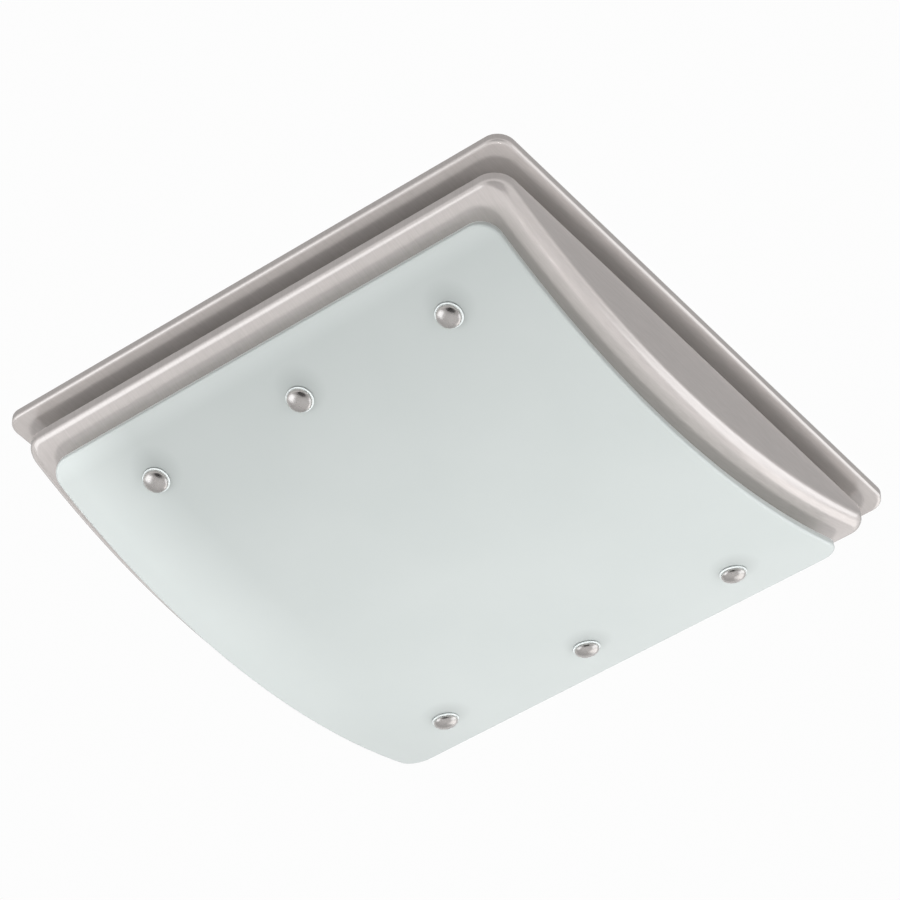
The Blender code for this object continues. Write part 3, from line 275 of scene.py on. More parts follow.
def edge_ring(bend, depth):
    """A ring of the rolled edge: reach (1 - cos bend) inwards, edge_round (1 - sin bend) over the arch."""
    reach = WALL_STEP + edge_round
    flat = rim_line + inward * (reach - (reach - depth) * math.cos(bend))[:, None]
    rise = edge_round - (edge_round - depth) * math.sin(bend)
    return np.column_stack((flat, face_height(flat[:, 1]) + rise))


def face_ring(share, depth):
    """A ring of the frame's face: edge + (mouth - edge) share in the plan, lifted onto the arch."""
    flat = rim_line + inward * (WALL_STEP + edge_round)[:, None]
    flat = flat + (mouth_line - flat) * share
    return np.column_stack((flat, face_height(flat[:, 1]) + depth))


frame_rings = [top_ring(CUT_EDGE, 0), top_ring(0, CUT_EDGE)]
bends = np.linspace(0, math.pi / 2, EDGE_STEPS + 1)
frame_rings += [edge_ring(bend, 0) for bend in bends]
face_shares = np.linspace(0, 1, FACE_STEPS + 1)
frame_rings += [face_ring(share, 0) for share in face_shares[1:]]
frame_rings += [face_ring(share, FRAME_SHEET) for share in face_shares[::-1]]
frame_rings += [edge_ring(bend, FRAME_SHEET) for bend in bends[-2::-1]]
frame_rings.append(top_ring(FRAME_SHEET, 0))
light_frame = swept_piece("light_frame_skin", np.stack(frame_rings)[::-1])
print("frame faces:", len(light_frame.data.polygons))

# %% [markdown]
# The glass is a flat sheet softened over a mould, so it is laid out flat first: a round-cornered outline in
# x and in arc length. Rings drawn in through its thickness give the ground edge, and straight strips close
# its two sides, because a sheet bent one way keeps straight lines the other way.

# %% Bend the glass panel
ARRIS_STEPS = 4
GLASS_ROUND_STEPS = 6
glass_outer = ARCH_RADIUS + GLASS_GAP + GLASS_THICK
middle_radius = glass_outer - GLASS_ROUND
GLASS_HALF_ARC = math.asin(glass_high.y / middle_radius) * glass_outer


def glass_ring(inset, depth):
    """The glass's outline at one depth, wrapped round the arch's axis: its angle is y over the radius."""
    flat = outline(GLASS_HALF_X - inset, GLASS_HALF_ARC - inset, GLASS_CORNER - inset)
    angle = flat[:, 1] / glass_outer
    radius = ARCH_RADIUS + GLASS_GAP + depth
    return np.column_stack((flat[:, 0], np.sin(angle) * radius, ARCH_CENTRE_Z - np.cos(angle) * radius))


glass_layers = arc_profile((GLASS_ARRIS, GLASS_ARRIS), GLASS_ARRIS, 270, 180, ARRIS_STEPS)
round_centre = (GLASS_ROUND, GLASS_THICK - GLASS_ROUND)
glass_layers += arc_profile(round_centre, GLASS_ROUND, 180, 90, GLASS_ROUND_STEPS)
glass_rings = np.stack([glass_ring(inset, depth) for inset, depth in glass_layers])
ring_size = glass_rings.shape[1]
glass_faces = sheet_faces(len(glass_rings), ring_size, False, True).tolist()


def strip_faces(first, flip):
    """Straight strips across X that close one side of the glass, from its +Y end to its -Y end."""
    span = ring_size // 2
    top_middle = CORNER_PARTS + SIDE_PARTS // 2
    near = first + (top_middle - np.arange(span + 1)) % ring_size
    far = first + (top_middle + np.arange(span + 1)) % ring_size
    strips = np.stack((near[:-1], near[1:], far[1:], far[:-1]), axis=1)[1:-1]
    ends = [[near[0], near[1], far[1]], [near[-2], near[-1], far[-2]]]
    faces = strips.tolist() + ends
    return [face[::-1] for face in faces] if flip else faces


glass_faces += strip_faces(0, True)
glass_faces += strip_faces(ring_size * (len(glass_rings) - 1), False)
glass = piece_from("glass_sheet", glass_rings, glass_faces, smooth_degrees=40)
print("glass faces:", len(glass.data.polygons))

# %% [markdown]
# Knobs and washers are round. A lathe cuts such a piece by following one section while the bar turns, and
# a screw modifier could do the same. Here a whole array of the section's points is turned at once, which
# also puts the piece on its own tilted axis.

# %% Carry a section round an axis
TURN_PARTS = 64


def turned_points(profile, place):
    """Every profile point (radius, height) carried round local Z, then set into the frame by a matrix."""
    radius, height = np.array(profile).T
    angle = np.linspace(0, 2 * math.pi, TURN_PARTS, endpoint=False)
    tall = np.broadcast_to(height[:, None], (len(radius), TURN_PARTS))
    local = np.stack((np.outer(radius, np.cos(angle)), np.outer(radius, np.sin(angle)), tall), axis=2)
    matrix = np.array(place)
    return local @ matrix[:3, :3].T + matrix[:3, 3]


def turned_piece(name, profile, place, closed_ends=False):
    """A turned piece: a ring section that closes on itself, or a solid whose ends are closed on the axis."""
    rings = turned_points(profile, place)
    faces = sheet_faces(len(rings), TURN_PARTS, not closed_ends, True).tolist()
    if closed_ends:
        last = (len(rings) - 1) * TURN_PARTS
        faces += [list(range(TURN_PARTS))[::-1], list(range(last, last + TURN_PARTS))]
    return piece_from(name, rings, faces, smooth_degrees=40)


print("points in one turn:", TURN_PARTS)

# %% [markdown]
# Six domed knobs hold the glass. Each has a wide flat dome with a small rounded rim, as a pressed or turned
# cap has, and a blind bore for its stud. Each knob's joint says where its axis stands. The washer under it
# is a soft clear ring whose edge is round.

# %% Turn the knobs and washers
KNOB_NUMBERS = range(1, 7)
KNOB_OUT = 13.4 * MM
WASHER_OUT = 12.1 * MM
KNOB_RADIUS = 8 * MM
KNOB_HEIGHT = 4.5 * MM
KNOB_BORE = (2.3 * MM, 3.1 * MM)
KNOB_RIM = 0.3 * MM
KNOB_TIP = 0.02 * MM
DOME_STEPS = 24
RIM_STEPS = 4
WASHER_RADIUS = 9 * MM
WASHER_BORE = 2.3 * MM
WASHER_THICK = 1 * MM
WASHER_STEPS = 8


def knob_place(index):
    """The matrix that puts local Z on a knob's joint axis, with its zero on the frame's face."""
    joint = next(j for j in frame["joints"] if j["name"] == f"knob_turn_{index}")
    axis = Vector(joint["axis"]).normalized()
    foot = Vector(joint["pos_m"]) - axis * KNOB_OUT
    turn = Vector((0, 0, 1)).rotation_difference(axis).to_matrix().to_4x4()
    return Matrix.Translation(foot) @ turn


def knob_profile():
    """From the blind bore's floor out over the seat, round a small edge and up half an ellipse to its top."""
    bore, depth = KNOB_BORE
    profile = [(KNOB_TIP, KNOB_OUT + depth), (bore, KNOB_OUT + depth), (bore, KNOB_OUT)]
    profile += arc_profile((KNOB_RADIUS - KNOB_RIM, KNOB_OUT + KNOB_RIM), KNOB_RIM, -90, 0, RIM_STEPS)
    turn = np.radians(np.linspace(0, 89, DOME_STEPS))
    start = KNOB_OUT + 2 * KNOB_RIM
    dome = KNOB_HEIGHT - 2 * KNOB_RIM
    profile += [(KNOB_RADIUS * math.cos(t), start + dome * math.sin(t)) for t in turn]
    profile.append((KNOB_TIP, KNOB_OUT + KNOB_HEIGHT))
    return profile


washer_edge = WASHER_THICK / 2
washer_profile = [(WASHER_BORE, WASHER_OUT)]
washer_centre = (WASHER_RADIUS - washer_edge, WASHER_OUT + washer_edge)
washer_profile += arc_profile(washer_centre, washer_edge, -90, 90, WASHER_STEPS)
washer_profile.append((WASHER_BORE, WASHER_OUT + WASHER_THICK))
knobs = {}
washers = {}
for index in KNOB_NUMBERS:
    knobs[index] = turned_piece(f"knob_cap_{index}", knob_profile(), knob_place(index), closed_ends=True)
    washers[index] = turned_piece(f"washer_ring_{index}", washer_profile, knob_place(index))
print("knobs:", len(knobs))

# %% [markdown]
# The mounting springs pull the plate up and stretch when it is let down. A tube is carried along a helix:
# at each point of the path two directions square to it carry a small circle.

# %% Wind the mounting springs
SPRING_RADIUS = 3.9 * MM
SPRING_WIRE = 0.6 * MM
SPRING_TURNS = 8
SPRING_LEAD = 2.4 * MM
WIRE_PARTS = 10
TURN_STEPS = 32


def spring_path(low, high):
    """A helix of even pitch between two straight leads that stand square on their seats."""
    turn = np.linspace(0, 2 * math.pi * SPRING_TURNS, TURN_STEPS * SPRING_TURNS)
    height = np.linspace(low + SPRING_LEAD, high - SPRING_LEAD, len(turn))
    helix = np.column_stack((SPRING_RADIUS * np.cos(turn), SPRING_RADIUS * np.sin(turn), height))
    foot = [(SPRING_RADIUS, 0, low), (SPRING_RADIUS, 0, low + SPRING_LEAD / 2)]
    head = [(SPRING_RADIUS, 0, high - SPRING_LEAD / 2), (SPRING_RADIUS, 0, high)]
    return np.concatenate((foot, helix, head))


def tube_along(path, radius):
    """A round tube: at each point a circle of this radius, square to the path's direction there."""
    along = np.gradient(path, axis=0)
    along /= np.linalg.norm(along, axis=1)[:, None]
    outward = path * np.array((1, 1, 0))
    outward -= along * np.sum(outward * along, axis=1)[:, None]
    outward /= np.linalg.norm(outward, axis=1)[:, None]
    beside = np.cross(along, outward)
    angle = np.linspace(0, 2 * math.pi, WIRE_PARTS, endpoint=False)[None, :, None]
    circle = np.cos(angle) * outward[:, None, :] + np.sin(angle) * beside[:, None, :]
    rings = path[:, None, :] + radius * circle
    faces = sheet_faces(len(path), WIRE_PARTS, False, True).tolist()
    last = (len(path) - 1) * WIRE_PARTS
    faces += [list(range(WIRE_PARTS))[::-1], list(range(last, last + WIRE_PARTS))]
    return rings, faces


springs = {}
for index in (1, 2):
    low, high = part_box(f"mounting_spring_{index}")
    centre_x = (low.x + high.x) / 2
    rings, faces = tube_along(spring_path(low.z, high.z), SPRING_WIRE)
    rings[..., 0] += centre_x
    springs[index] = piece_from(f"spring_wire_{index}", rings, faces, smooth_degrees=50)
print("springs:", len(springs))

# %% [markdown]
# A finish is a Principled shader with its grain in front of it. The grain is a noise that reads the piece's
# own coordinates, so it keeps its real size and moves with the piece. A picture could carry it too, but
# would have to be laid out flat and would blur close up.


# %% Helpers that make a material and its grain
def new_finish(name, settings):
    """A material with the named Principled sockets set, and with it its node tree and its shader."""
    made = bpy.data.materials.new(name)
    made.use_nodes = True
    tree = made.node_tree
    shader = tree.nodes["Principled BSDF"]
    for socket, value in settings.items():
        shader.inputs[socket].default_value = value
    return made, tree, shader


def own_place(tree, stretch):
    """The piece's own coordinates in metres, stretched along its axes."""
    coordinates = tree.nodes.new("ShaderNodeTexCoord")
    mapping = tree.nodes.new("ShaderNodeMapping")
    mapping.inputs["Scale"].default_value = stretch
    tree.links.new(coordinates.outputs["Object"], mapping.inputs["Vector"])
    return mapping.outputs["Vector"]


def grain(tree, scale, stretch=(1, 1, 1), detail=3.0, roughness=0.5, kind="ShaderNodeTexNoise"):
    """A noise or cell pattern with this many features in a metre; returns its value."""
    texture = tree.nodes.new(kind)
    texture.inputs["Scale"].default_value = scale
    if kind == "ShaderNodeTexNoise":
        texture.inputs["Detail"].default_value = detail
        texture.inputs["Roughness"].default_value = roughness
    tree.links.new(own_place(tree, stretch), texture.inputs["Vector"])
    return texture.outputs["Fac" if kind == "ShaderNodeTexNoise" else "Color"]


# %% [markdown]
# The noise alone is a plain value. These helpers turn it into a finish: a change of range, a mix of two
# colours, arithmetic between two values and a bump.


# %% Helpers that turn a value into a finish
def ranged(tree, value, low, high, start=0.25, end=0.75):
    """A value moved from one range to another and held inside it."""
    change = tree.nodes.new("ShaderNodeMapRange")
    change.inputs["From Min"].default_value = start
    change.inputs["From Max"].default_value = end
    change.inputs["To Min"].default_value = low
    change.inputs["To Max"].default_value = high
    tree.links.new(value, change.inputs["Value"])
    return change.outputs["Result"]


def mixed(tree, share, first, second):
    """Two colours mixed by a value; each is a colour or another node's output."""
    mix = tree.nodes.new("ShaderNodeMix")
    mix.data_type = "RGBA"
    tree.links.new(share, mix.inputs["Factor"])
    for socket, colour in ((mix.inputs[6], first), (mix.inputs[7], second)):
        if isinstance(colour, tuple):
            socket.default_value = (*colour, 1)
        else:
            tree.links.new(colour, socket)
    return mix.outputs[2]


def combined(tree, first, second, operation="MULTIPLY"):
    """Two values joined by arithmetic. The second may be a number, which ROUND and SIGN don't use."""
    node = tree.nodes.new("ShaderNodeMath")
    node.operation = operation
    tree.links.new(first, node.inputs[0])
    if isinstance(second, (int, float)):
        node.inputs[1].default_value = second
    else:
        tree.links.new(second, node.inputs[1])
    return node.outputs[0]


def bumped(tree, shader, height, depth, strength=1.0):
    """A bump of this depth in metres on the shader's normal."""
    bump = tree.nodes.new("ShaderNodeBump")
    bump.inputs["Strength"].default_value = strength
    bump.inputs["Distance"].default_value = depth
    tree.links.new(height, bump.inputs["Height"])
    tree.links.new(bump.outputs["Normal"], shader.inputs["Normal"])


# %% [markdown]
# The trim and the frame are brushed along Y before they are folded, then given a clear coat. The scratches
# are a noise that is fine across the brushing and very long along it. The arched walls face X, so there the
# fine direction turns to Z: the surface's own normal picks which of the two noises shows.

# %% Brushed nickel
BRUSH_FINE = 1000
BRUSH_LONG = 80
BRUSH_ROUGH = (0.21, 0.27)
BRUSH_DEPTH = 0.018 * MM
NICKEL_DARK = (0.560, 0.521, 0.503)
NICKEL_LIGHT = (0.640, 0.597, 0.576)


def brushed_nickel():
    """Long scratches along Y in colour, roughness and bump, with a slow cloud over them."""
    settings = {"Metallic": 0.55, "Coat Weight": 0.10, "Coat Roughness": 0.20}
    made, tree, shader = new_finish("brushed_nickel", settings)
    across = grain(tree, 1.0, (BRUSH_FINE, BRUSH_LONG, BRUSH_LONG), detail=4, roughness=0.6)
    on_walls = grain(tree, 1.0, (BRUSH_LONG, BRUSH_LONG, BRUSH_FINE), detail=4, roughness=0.6)
    coordinates = tree.nodes.new("ShaderNodeTexCoord")
    split = tree.nodes.new("ShaderNodeSeparateXYZ")
    tree.links.new(coordinates.outputs["Normal"], split.inputs["Vector"])
    sideways = ranged(tree, combined(tree, split.outputs["X"], split.outputs["X"]), 0, 1, 0.3, 0.7)
    blend = tree.nodes.new("ShaderNodeMix")
    tree.links.new(sideways, blend.inputs["Factor"])
    tree.links.new(across, blend.inputs[2])
    tree.links.new(on_walls, blend.inputs[3])
    scratch = blend.outputs[0]
    cloud = grain(tree, 9, detail=2)
    tone = ranged(tree, combined(tree, scratch, combined(tree, cloud, 0.5), "ADD"), 0, 1, 0.45, 1.0)
    tree.links.new(mixed(tree, tone, NICKEL_DARK, NICKEL_LIGHT), shader.inputs["Base Color"])
    tree.links.new(ranged(tree, scratch, *BRUSH_ROUGH), shader.inputs["Roughness"])
    bumped(tree, shader, scratch, BRUSH_DEPTH, 0.25)
    return made


nickel = brushed_nickel()
print("nodes in the brushed nickel:", len(nickel.node_tree.nodes))

# %% [markdown]
# The knobs are polished on the real fan too. A noise that is finer than the eye can follow breaks their
# mirror up a little, in roughness and in bump, because a perfect one looks made by a computer.

# %% Polished nickel
NICKEL_BRIGHT = (0.63, 0.600, 0.580)
POLISH_ROUGH = (0.24, 0.32)


def polished_nickel():
    """One bright tone, with a noise moved into its roughness and a finer one as a hair-fine bump."""
    settings = {"Metallic": 1.0, "Base Color": (*NICKEL_BRIGHT, 1)}
    made, tree, shader = new_finish("polished_nickel", settings)
    haze = grain(tree, 400, detail=4)
    tree.links.new(ranged(tree, haze, *POLISH_ROUGH), shader.inputs["Roughness"])
    bumped(tree, shader, grain(tree, 2500, detail=2), 0.004 * MM, 0.3)
    return made


polished = polished_nickel()
print("nodes in the polished nickel:", len(polished.node_tree.nodes))

# %% [markdown]
# Frosted glass is never one even tone. Its colour carries painted light, paler towards +Y as the light falls on
# the curved panel and along two borders where light passes behind it, and painted shade, a soft dark spot
# beside each washer where the knob's stud would show through. Arithmetic on the panel's own coordinates draws
# these, with no picture needed.

# %% Painted light and shade on the glass
PAINTED_SLOPE_REACH = 165 * MM
PAINTED_SLOPE_LOW = 0.81
PAINTED_SLOPE_HIGH = 1.17
PAINTED_BORDER_START = -110 * MM
PAINTED_BORDER_END = -160 * MM
PAINTED_BORDER_LIGHT = 1.09
PAINTED_FRONT_LIGHT = 1.10
PAINTED_FRONT_START = -168 * MM
PAINTED_FRONT_END = -178 * MM
# painted shade of each stud seen through the glass: its darkness, its core and spread, and its offset from the
# knob
STUD_SHADE_DARKNESS = 0.80
STUD_SHADE_CORE = 2 * MM
STUD_SHADE_SPREAD = 17 * MM
STUD_SHADE_OFFSET = (4.5 * MM, -5 * MM)
knob_spots = [joint["pos_m"] for joint in frame["joints"] if joint["name"].startswith("knob_turn")]
KNOB_SPACING_X = max(spot[0] for spot in knob_spots)
KNOB_SPACING_Y = max(spot[1] for spot in knob_spots)


def stud_shade_distance(tree, x, y):
    """Root of dx^2 + dy^2 to the middle of the nearest stud's painted shade: x less its nearest column, y less its
    own row.
    """
    column = combined(tree, combined(tree, x, 1 / KNOB_SPACING_X), 0, "ROUND")
    x = combined(tree, x, combined(tree, column, KNOB_SPACING_X), "SUBTRACT")
    row = combined(tree, y, 0, "SIGN")
    y = combined(tree, y, combined(tree, row, KNOB_SPACING_Y), "SUBTRACT")
    x = combined(tree, x, STUD_SHADE_OFFSET[0], "SUBTRACT")
    y = combined(tree, y, STUD_SHADE_OFFSET[1], "SUBTRACT")
    squares = combined(tree, combined(tree, x, x), combined(tree, y, y), "ADD")
    return combined(tree, squares, 0.5, "POWER")


def glass_painted_light(tree):
    """Painted light and shade: a slope along Y, evened out at -X to the border's light, times a paler front edge,
    times the studs' painted shade.
    """
    coordinates = tree.nodes.new("ShaderNodeTexCoord")
    split = tree.nodes.new("ShaderNodeSeparateXYZ")
    tree.links.new(coordinates.outputs["Object"], split.inputs["Vector"])
    x, y = split.outputs["X"], split.outputs["Y"]
    # painted light: brighter towards +Y, held at the border's painted light towards -X
    slope = ranged(tree, y, PAINTED_SLOPE_LOW - PAINTED_BORDER_LIGHT, PAINTED_SLOPE_HIGH - PAINTED_BORDER_LIGHT, -PAINTED_SLOPE_REACH, PAINTED_SLOPE_REACH)
    slope = combined(tree, slope, ranged(tree, x, 0, 1, PAINTED_BORDER_END, PAINTED_BORDER_START))
    tone = combined(tree, slope, PAINTED_BORDER_LIGHT, "ADD")
    # painted light: the front edge at -Y is made paler
    tone = combined(tree, tone, ranged(tree, y, PAINTED_FRONT_LIGHT, 1.0, PAINTED_FRONT_END, PAINTED_FRONT_START))
    # painted shade: a soft dark spot near each knob where its stud would show through
    stud_shades = ranged(tree, stud_shade_distance(tree, x, y), STUD_SHADE_DARKNESS, 1.0, STUD_SHADE_CORE, STUD_SHADE_SPREAD)
    return combined(tree, tone, stud_shades)


print(f"knob columns {KNOB_SPACING_X / MM:.1f} mm apart, rows {KNOB_SPACING_Y / MM:.1f} mm from the middle")

# %% [markdown]
# The glass is acid-etched inside and smooth outside. Seen unlit it reads as a pale, slightly green slab
# with a soft shine. Light could be let through it, but a frosted body colour under a thin glossy coat gives
# the same look with less noise, and keeps the lamps behind it out of sight. Its inner face instead carries a
# painted glow that stands in for the light coming through.

# %% Frosted glass
GLASS_FACE = (0.459, 0.486, 0.476)
GLASS_DEEP = (0.440, 0.469, 0.459)
PAINTED_GLOW = 0.26
PAINTED_GLOW_TINT = (0.90, 0.95, 0.93)


def frosted_glass():
    """A pale green-grey body with painted light, under a smooth coat; its inner face has a painted glow that
    stands in for light coming through it.
    """
    settings = {"Roughness": 0.45, "Coat Weight": 0.5, "Coat Roughness": 0.30, "IOR": 1.5}
    made, tree, shader = new_finish("frosted_glass", settings)
    cloud = grain(tree, 14, detail=3)
    speck = grain(tree, 2600, detail=2)
    body = mixed(tree, ranged(tree, cloud, 0, 1), GLASS_DEEP, GLASS_FACE)
    # the glass body times its painted light and shade
    body_with_painted_light = tree.nodes.new("ShaderNodeVectorMath")
    body_with_painted_light.operation = "SCALE"
    tree.links.new(body, body_with_painted_light.inputs[0])
    tree.links.new(glass_painted_light(tree), body_with_painted_light.inputs["Scale"])
    tree.links.new(body_with_painted_light.outputs[0], shader.inputs["Base Color"])
    bumped(tree, shader, speck, 0.003 * MM, 0.3)
    coordinates = tree.nodes.new("ShaderNodeTexCoord")
    split = tree.nodes.new("ShaderNodeSeparateXYZ")
    tree.links.new(coordinates.outputs["Normal"], split.inputs["Vector"])
    # painted glow: the inner face gives off light that stands in for lamp light coming through the glass
    shader.inputs["Emission Color"].default_value = (*PAINTED_GLOW_TINT, 1)
    inner = ranged(tree, split.outputs["Z"], 0, PAINTED_GLOW, 0.3, 0.6)
    tree.links.new(inner, shader.inputs["Emission Strength"])
    return made


frosted = frosted_glass()
print("nodes in the frosted glass:", len(frosted.node_tree.nodes))

# %% [markdown]
# The washers are clear soft plastic. Against the pale glass such a ring shows as a light line round each
# knob, so it is made as a pale body with a soft shine, which needs no light to pass through it.

# %% Clear washer plastic
WASHER_DARK = (0.67, 0.705, 0.70)
WASHER_LIGHT = (0.72, 0.755, 0.75)


def clear_plastic():
    """A pale soft body, two near tones mixed by a fine noise that also roughens its surface."""
    settings = {"Roughness": 0.35, "IOR": 1.45, "Coat Weight": 0.3}
    made, tree, shader = new_finish("clear_plastic", settings)
    haze = grain(tree, 900, detail=2)
    tree.links.new(mixed(tree, haze, WASHER_DARK, WASHER_LIGHT), shader.inputs["Base Color"])
    bumped(tree, shader, haze, 0.01 * MM, 0.3)
    return made


clear = clear_plastic()
print("nodes in the washer plastic:", len(clear.node_tree.nodes))

# %% [markdown]
# The housing is zinc-coated sheet. The zinc grows in flat crystals as it cools, each with its own grey and
# gloss, so a pattern of cells gives them, with fine rolling marks over it.

# %% Zinc-coated steel
ZINC_DARK = (0.44, 0.46, 0.48)
ZINC_LIGHT = (0.66, 0.68, 0.70)
ZINC_ROUGH = (0.34, 0.52)
CRYSTALS_PER_METRE = 75


def galvanised_steel():
    """Zinc crystals as flat cells, each of its own grey and gloss, with fine rolling marks."""
    made, tree, shader = new_finish("galvanised_steel", {"Metallic": 0.9})
    cells = grain(tree, CRYSTALS_PER_METRE, kind="ShaderNodeTexVoronoi")
    fine = grain(tree, 600, (1, 1, 0.1), detail=3)
    tone = combined(tree, combined(tree, cells, 0.7), combined(tree, fine, 0.3), "ADD")
    tree.links.new(mixed(tree, tone, ZINC_DARK, ZINC_LIGHT), shader.inputs["Base Color"])
    tree.links.new(ranged(tree, cells, *ZINC_ROUGH, 0, 1), shader.inputs["Roughness"])
    bumped(tree, shader, fine, 0.02 * MM, 0.4)
    return made


galvanised = galvanised_steel()
print("nodes in the zinc-coated steel:", len(galvanised.node_tree.nodes))

# %% [markdown]
# White enamel, opal glass, motor iron, varnished tape and moulded plastic differ in tone, gloss and the
# scale and direction of their grain. One function makes them all, because the same noise drives all three
# in each of them.


# %% Workshop finishes
def grained_finish(
    name, dark, light, rough, scale, stretch=(1, 1, 1), metallic=0.0, depth=0.02 * MM, **sockets
):
    """A finish whose colour, roughness and bump share one noise, stretched where it has a direction."""
    settings = {socket.replace("_", " "): value for socket, value in sockets.items()}
    made, tree, shader = new_finish(name, {"Metallic": metallic, **settings})
    noise = grain(tree, scale, stretch, detail=4)
    wide = grain(tree, scale / 25, detail=2)
    tone = combined(tree, combined(tree, noise, 0.6), combined(tree, wide, 0.4), "ADD")
    tree.links.new(mixed(tree, ranged(tree, tone, 0, 1), dark, light), shader.inputs["Base Color"])
    tree.links.new(ranged(tree, tone, *rough), shader.inputs["Roughness"])
    bumped(tree, shader, noise, depth, 0.5)
    return made


white_enamel = grained_finish(
    "white_enamel", (0.72, 0.72, 0.70), (0.80, 0.80, 0.78), (0.28, 0.42), 700,
    depth=0.03 * MM, Coat_Weight=0.3,
)
opal_glass = grained_finish(
    "opal_glass", (0.82, 0.81, 0.77), (0.88, 0.87, 0.84), (0.20, 0.30), 500, depth=0.005 * MM, Coat_Weight=0.6
)
cap_metal = grained_finish(
    "cap_metal", (0.55, 0.50, 0.38), (0.72, 0.67, 0.53), (0.25, 0.42), 900, (0.1, 1, 1), 1.0, 0.01 * MM
)
spring_steel = grained_finish(
    "spring_steel", (0.30, 0.30, 0.31), (0.45, 0.45, 0.46), (0.25, 0.42), 1500, metallic=1.0, depth=0.01 * MM
)
lamination = grained_finish(
    "lamination_steel", (0.12, 0.125, 0.13), (0.30, 0.31, 0.32), (0.35, 0.60), 1.0, (60, 60, 2000),
    metallic=0.9, depth=0.10 * MM,
)
coil_wrap = grained_finish(
    "coil_wrap", (0.36, 0.17, 0.04), (0.58, 0.33, 0.10), (0.25, 0.50), 1.0, (1100, 90, 90), depth=0.08 * MM
)
shaft_steel = grained_finish(
    "shaft_steel", (0.48, 0.48, 0.48), (0.64, 0.64, 0.63), (0.20, 0.34), 1.0, (300, 300, 1800), 1.0, 0.01 * MM
)
wheel_plastic = grained_finish(
    "wheel_plastic", (0.030, 0.030, 0.034), (0.055, 0.055, 0.060), (0.35, 0.55), 1200, depth=0.02 * MM
)
dark_plastic = grained_finish(
    "dark_plastic", (0.035, 0.035, 0.038), (0.060, 0.060, 0.065), (0.40, 0.58), 1500, depth=0.03 * MM
)
print("materials so far:", len(bpy.data.materials))

# %% [markdown]
# Every piece but the springs rides on the body that carries it, and each takes its finish.

# %% Finishes and bodies of the new pieces


def dress(piece, material):
    """Give a piece its one material."""
    piece.data.materials.clear()
    piece.data.materials.append(material)
    return piece


for piece, material, node, slot in (
    (plate, nickel, "trim_plate", "brushed_nickel"),
    (light_frame, nickel, "light_frame", "brushed_nickel"),
    (glass, frosted, "glass_panel", "frosted_glass"),
):
    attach(dress(piece, material), "trim")
    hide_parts(node)
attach(dress(tabs, nickel), "trim")
for index in KNOB_NUMBERS:
    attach(dress(knobs[index], polished), f"knob_{index}")
    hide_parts(f"knob_{index}")
    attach(dress(washers[index], clear), "trim")
    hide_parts(f"washer_{index}")
for index, spring in springs.items():
    low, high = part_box(f"mounting_spring_{index}")
    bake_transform(dress(spring, spring_steel))
    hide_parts(f"mounting_spring_{index}")
print("knobs, washers and springs dressed:", len(knobs) + len(washers) + len(springs))

# %% [markdown]
# All other pieces keep the solids that came in with the frame. Each names its material, and the finish of
# that name goes on it. A mesh that is rounded is shaded smooth up to its sharp edges.

# %% Finishes of the frame's own nodes
finish_of = {
    "polished_nickel": polished,
    "white_enamel": white_enamel,
    "opal_glass": opal_glass,
    "cap_metal": cap_metal,
    "galvanised_steel": galvanised,
    "lamination_steel": lamination,
    "coil_wrap": coil_wrap,
    "shaft_steel": shaft_steel,
    "wheel_plastic": wheel_plastic,
    "dark_plastic": dark_plastic,
}
dressed = 0
for entry in frame["record"]["subparts"]:
    if entry["material_slot"] in finish_of:
        node = frame["nodes"][entry["node"]]
        node.data.materials.clear()
        node.data.materials.append(finish_of[entry["material_slot"]])
        node.data.shade_smooth()
        node.data.set_sharp_from_angle(angle=math.radians(SMOOTH_DEGREES))
        dressed += 1
print("nodes dressed:", dressed)

# %% [markdown]
# The picture looks up at a ceiling. The ceiling is a sheet that shows only from below, so that the views
# from above can look past it at the housing. The floor is far below, pale and plain, and is what the metal
# mirrors.

# %% Ceiling and floor
CEILING_HALF = 6.0
CEILING_LIFT = 0.15 * MM
CEILING_GLOW = 0.98
FLOOR_Z = -2.6
FLOOR_GLOW = 0.10


def flat_square(name, half, height):
    """A square that faces up or down at one height."""
    corners = ((-1, -1), (1, -1), (1, 1), (-1, 1))
    points = np.column_stack((np.array(corners) * half, np.full(4, height)))
    return piece_from(name, points, [(0, 1, 2, 3)])


def ceiling_paint():
    """White from below; from behind it lets everything through."""
    made = bpy.data.materials.new("ceiling_paint")
    made.use_nodes = True
    tree = made.node_tree
    tree.nodes.clear()
    output = tree.nodes.new("ShaderNodeOutputMaterial")
    white = tree.nodes.new("ShaderNodeEmission")
    white.inputs["Color"].default_value = (1, 1, 1, 1)
    white.inputs["Strength"].default_value = CEILING_GLOW
    nothing = tree.nodes.new("ShaderNodeBsdfTransparent")
    side = tree.nodes.new("ShaderNodeNewGeometry")
    mix = tree.nodes.new("ShaderNodeMixShader")
    tree.links.new(side.outputs["Backfacing"], mix.inputs["Fac"])
    tree.links.new(nothing.outputs[0], mix.inputs[1])
    tree.links.new(white.outputs[0], mix.inputs[2])
    tree.links.new(mix.outputs[0], output.inputs["Surface"])
    return made


def floor_paint():
    """Pale matt floor with the faintest clouding, lit a little from within as if by lamps of its own."""
    made, tree, shader = new_finish("floor_paint", {"Roughness": 0.8, "Emission Strength": FLOOR_GLOW})
    cloud = grain(tree, 3, detail=2)
    tree.links.new(mixed(tree, cloud, (0.78, 0.78, 0.78), (0.82, 0.82, 0.82)), shader.inputs["Base Color"])
    return made


ceiling = dress(flat_square("ceiling", CEILING_HALF, CEILING_LIFT), ceiling_paint())
ceiling.visible_shadow = False
ceiling.visible_diffuse = False
ceiling.visible_glossy = False
floor = dress(flat_square("floor", CEILING_HALF * 3, FLOOR_Z), floor_paint())
print(f"ceiling {2 * CEILING_HALF:.0f} m wide, floor {-FLOOR_Z} m below it")

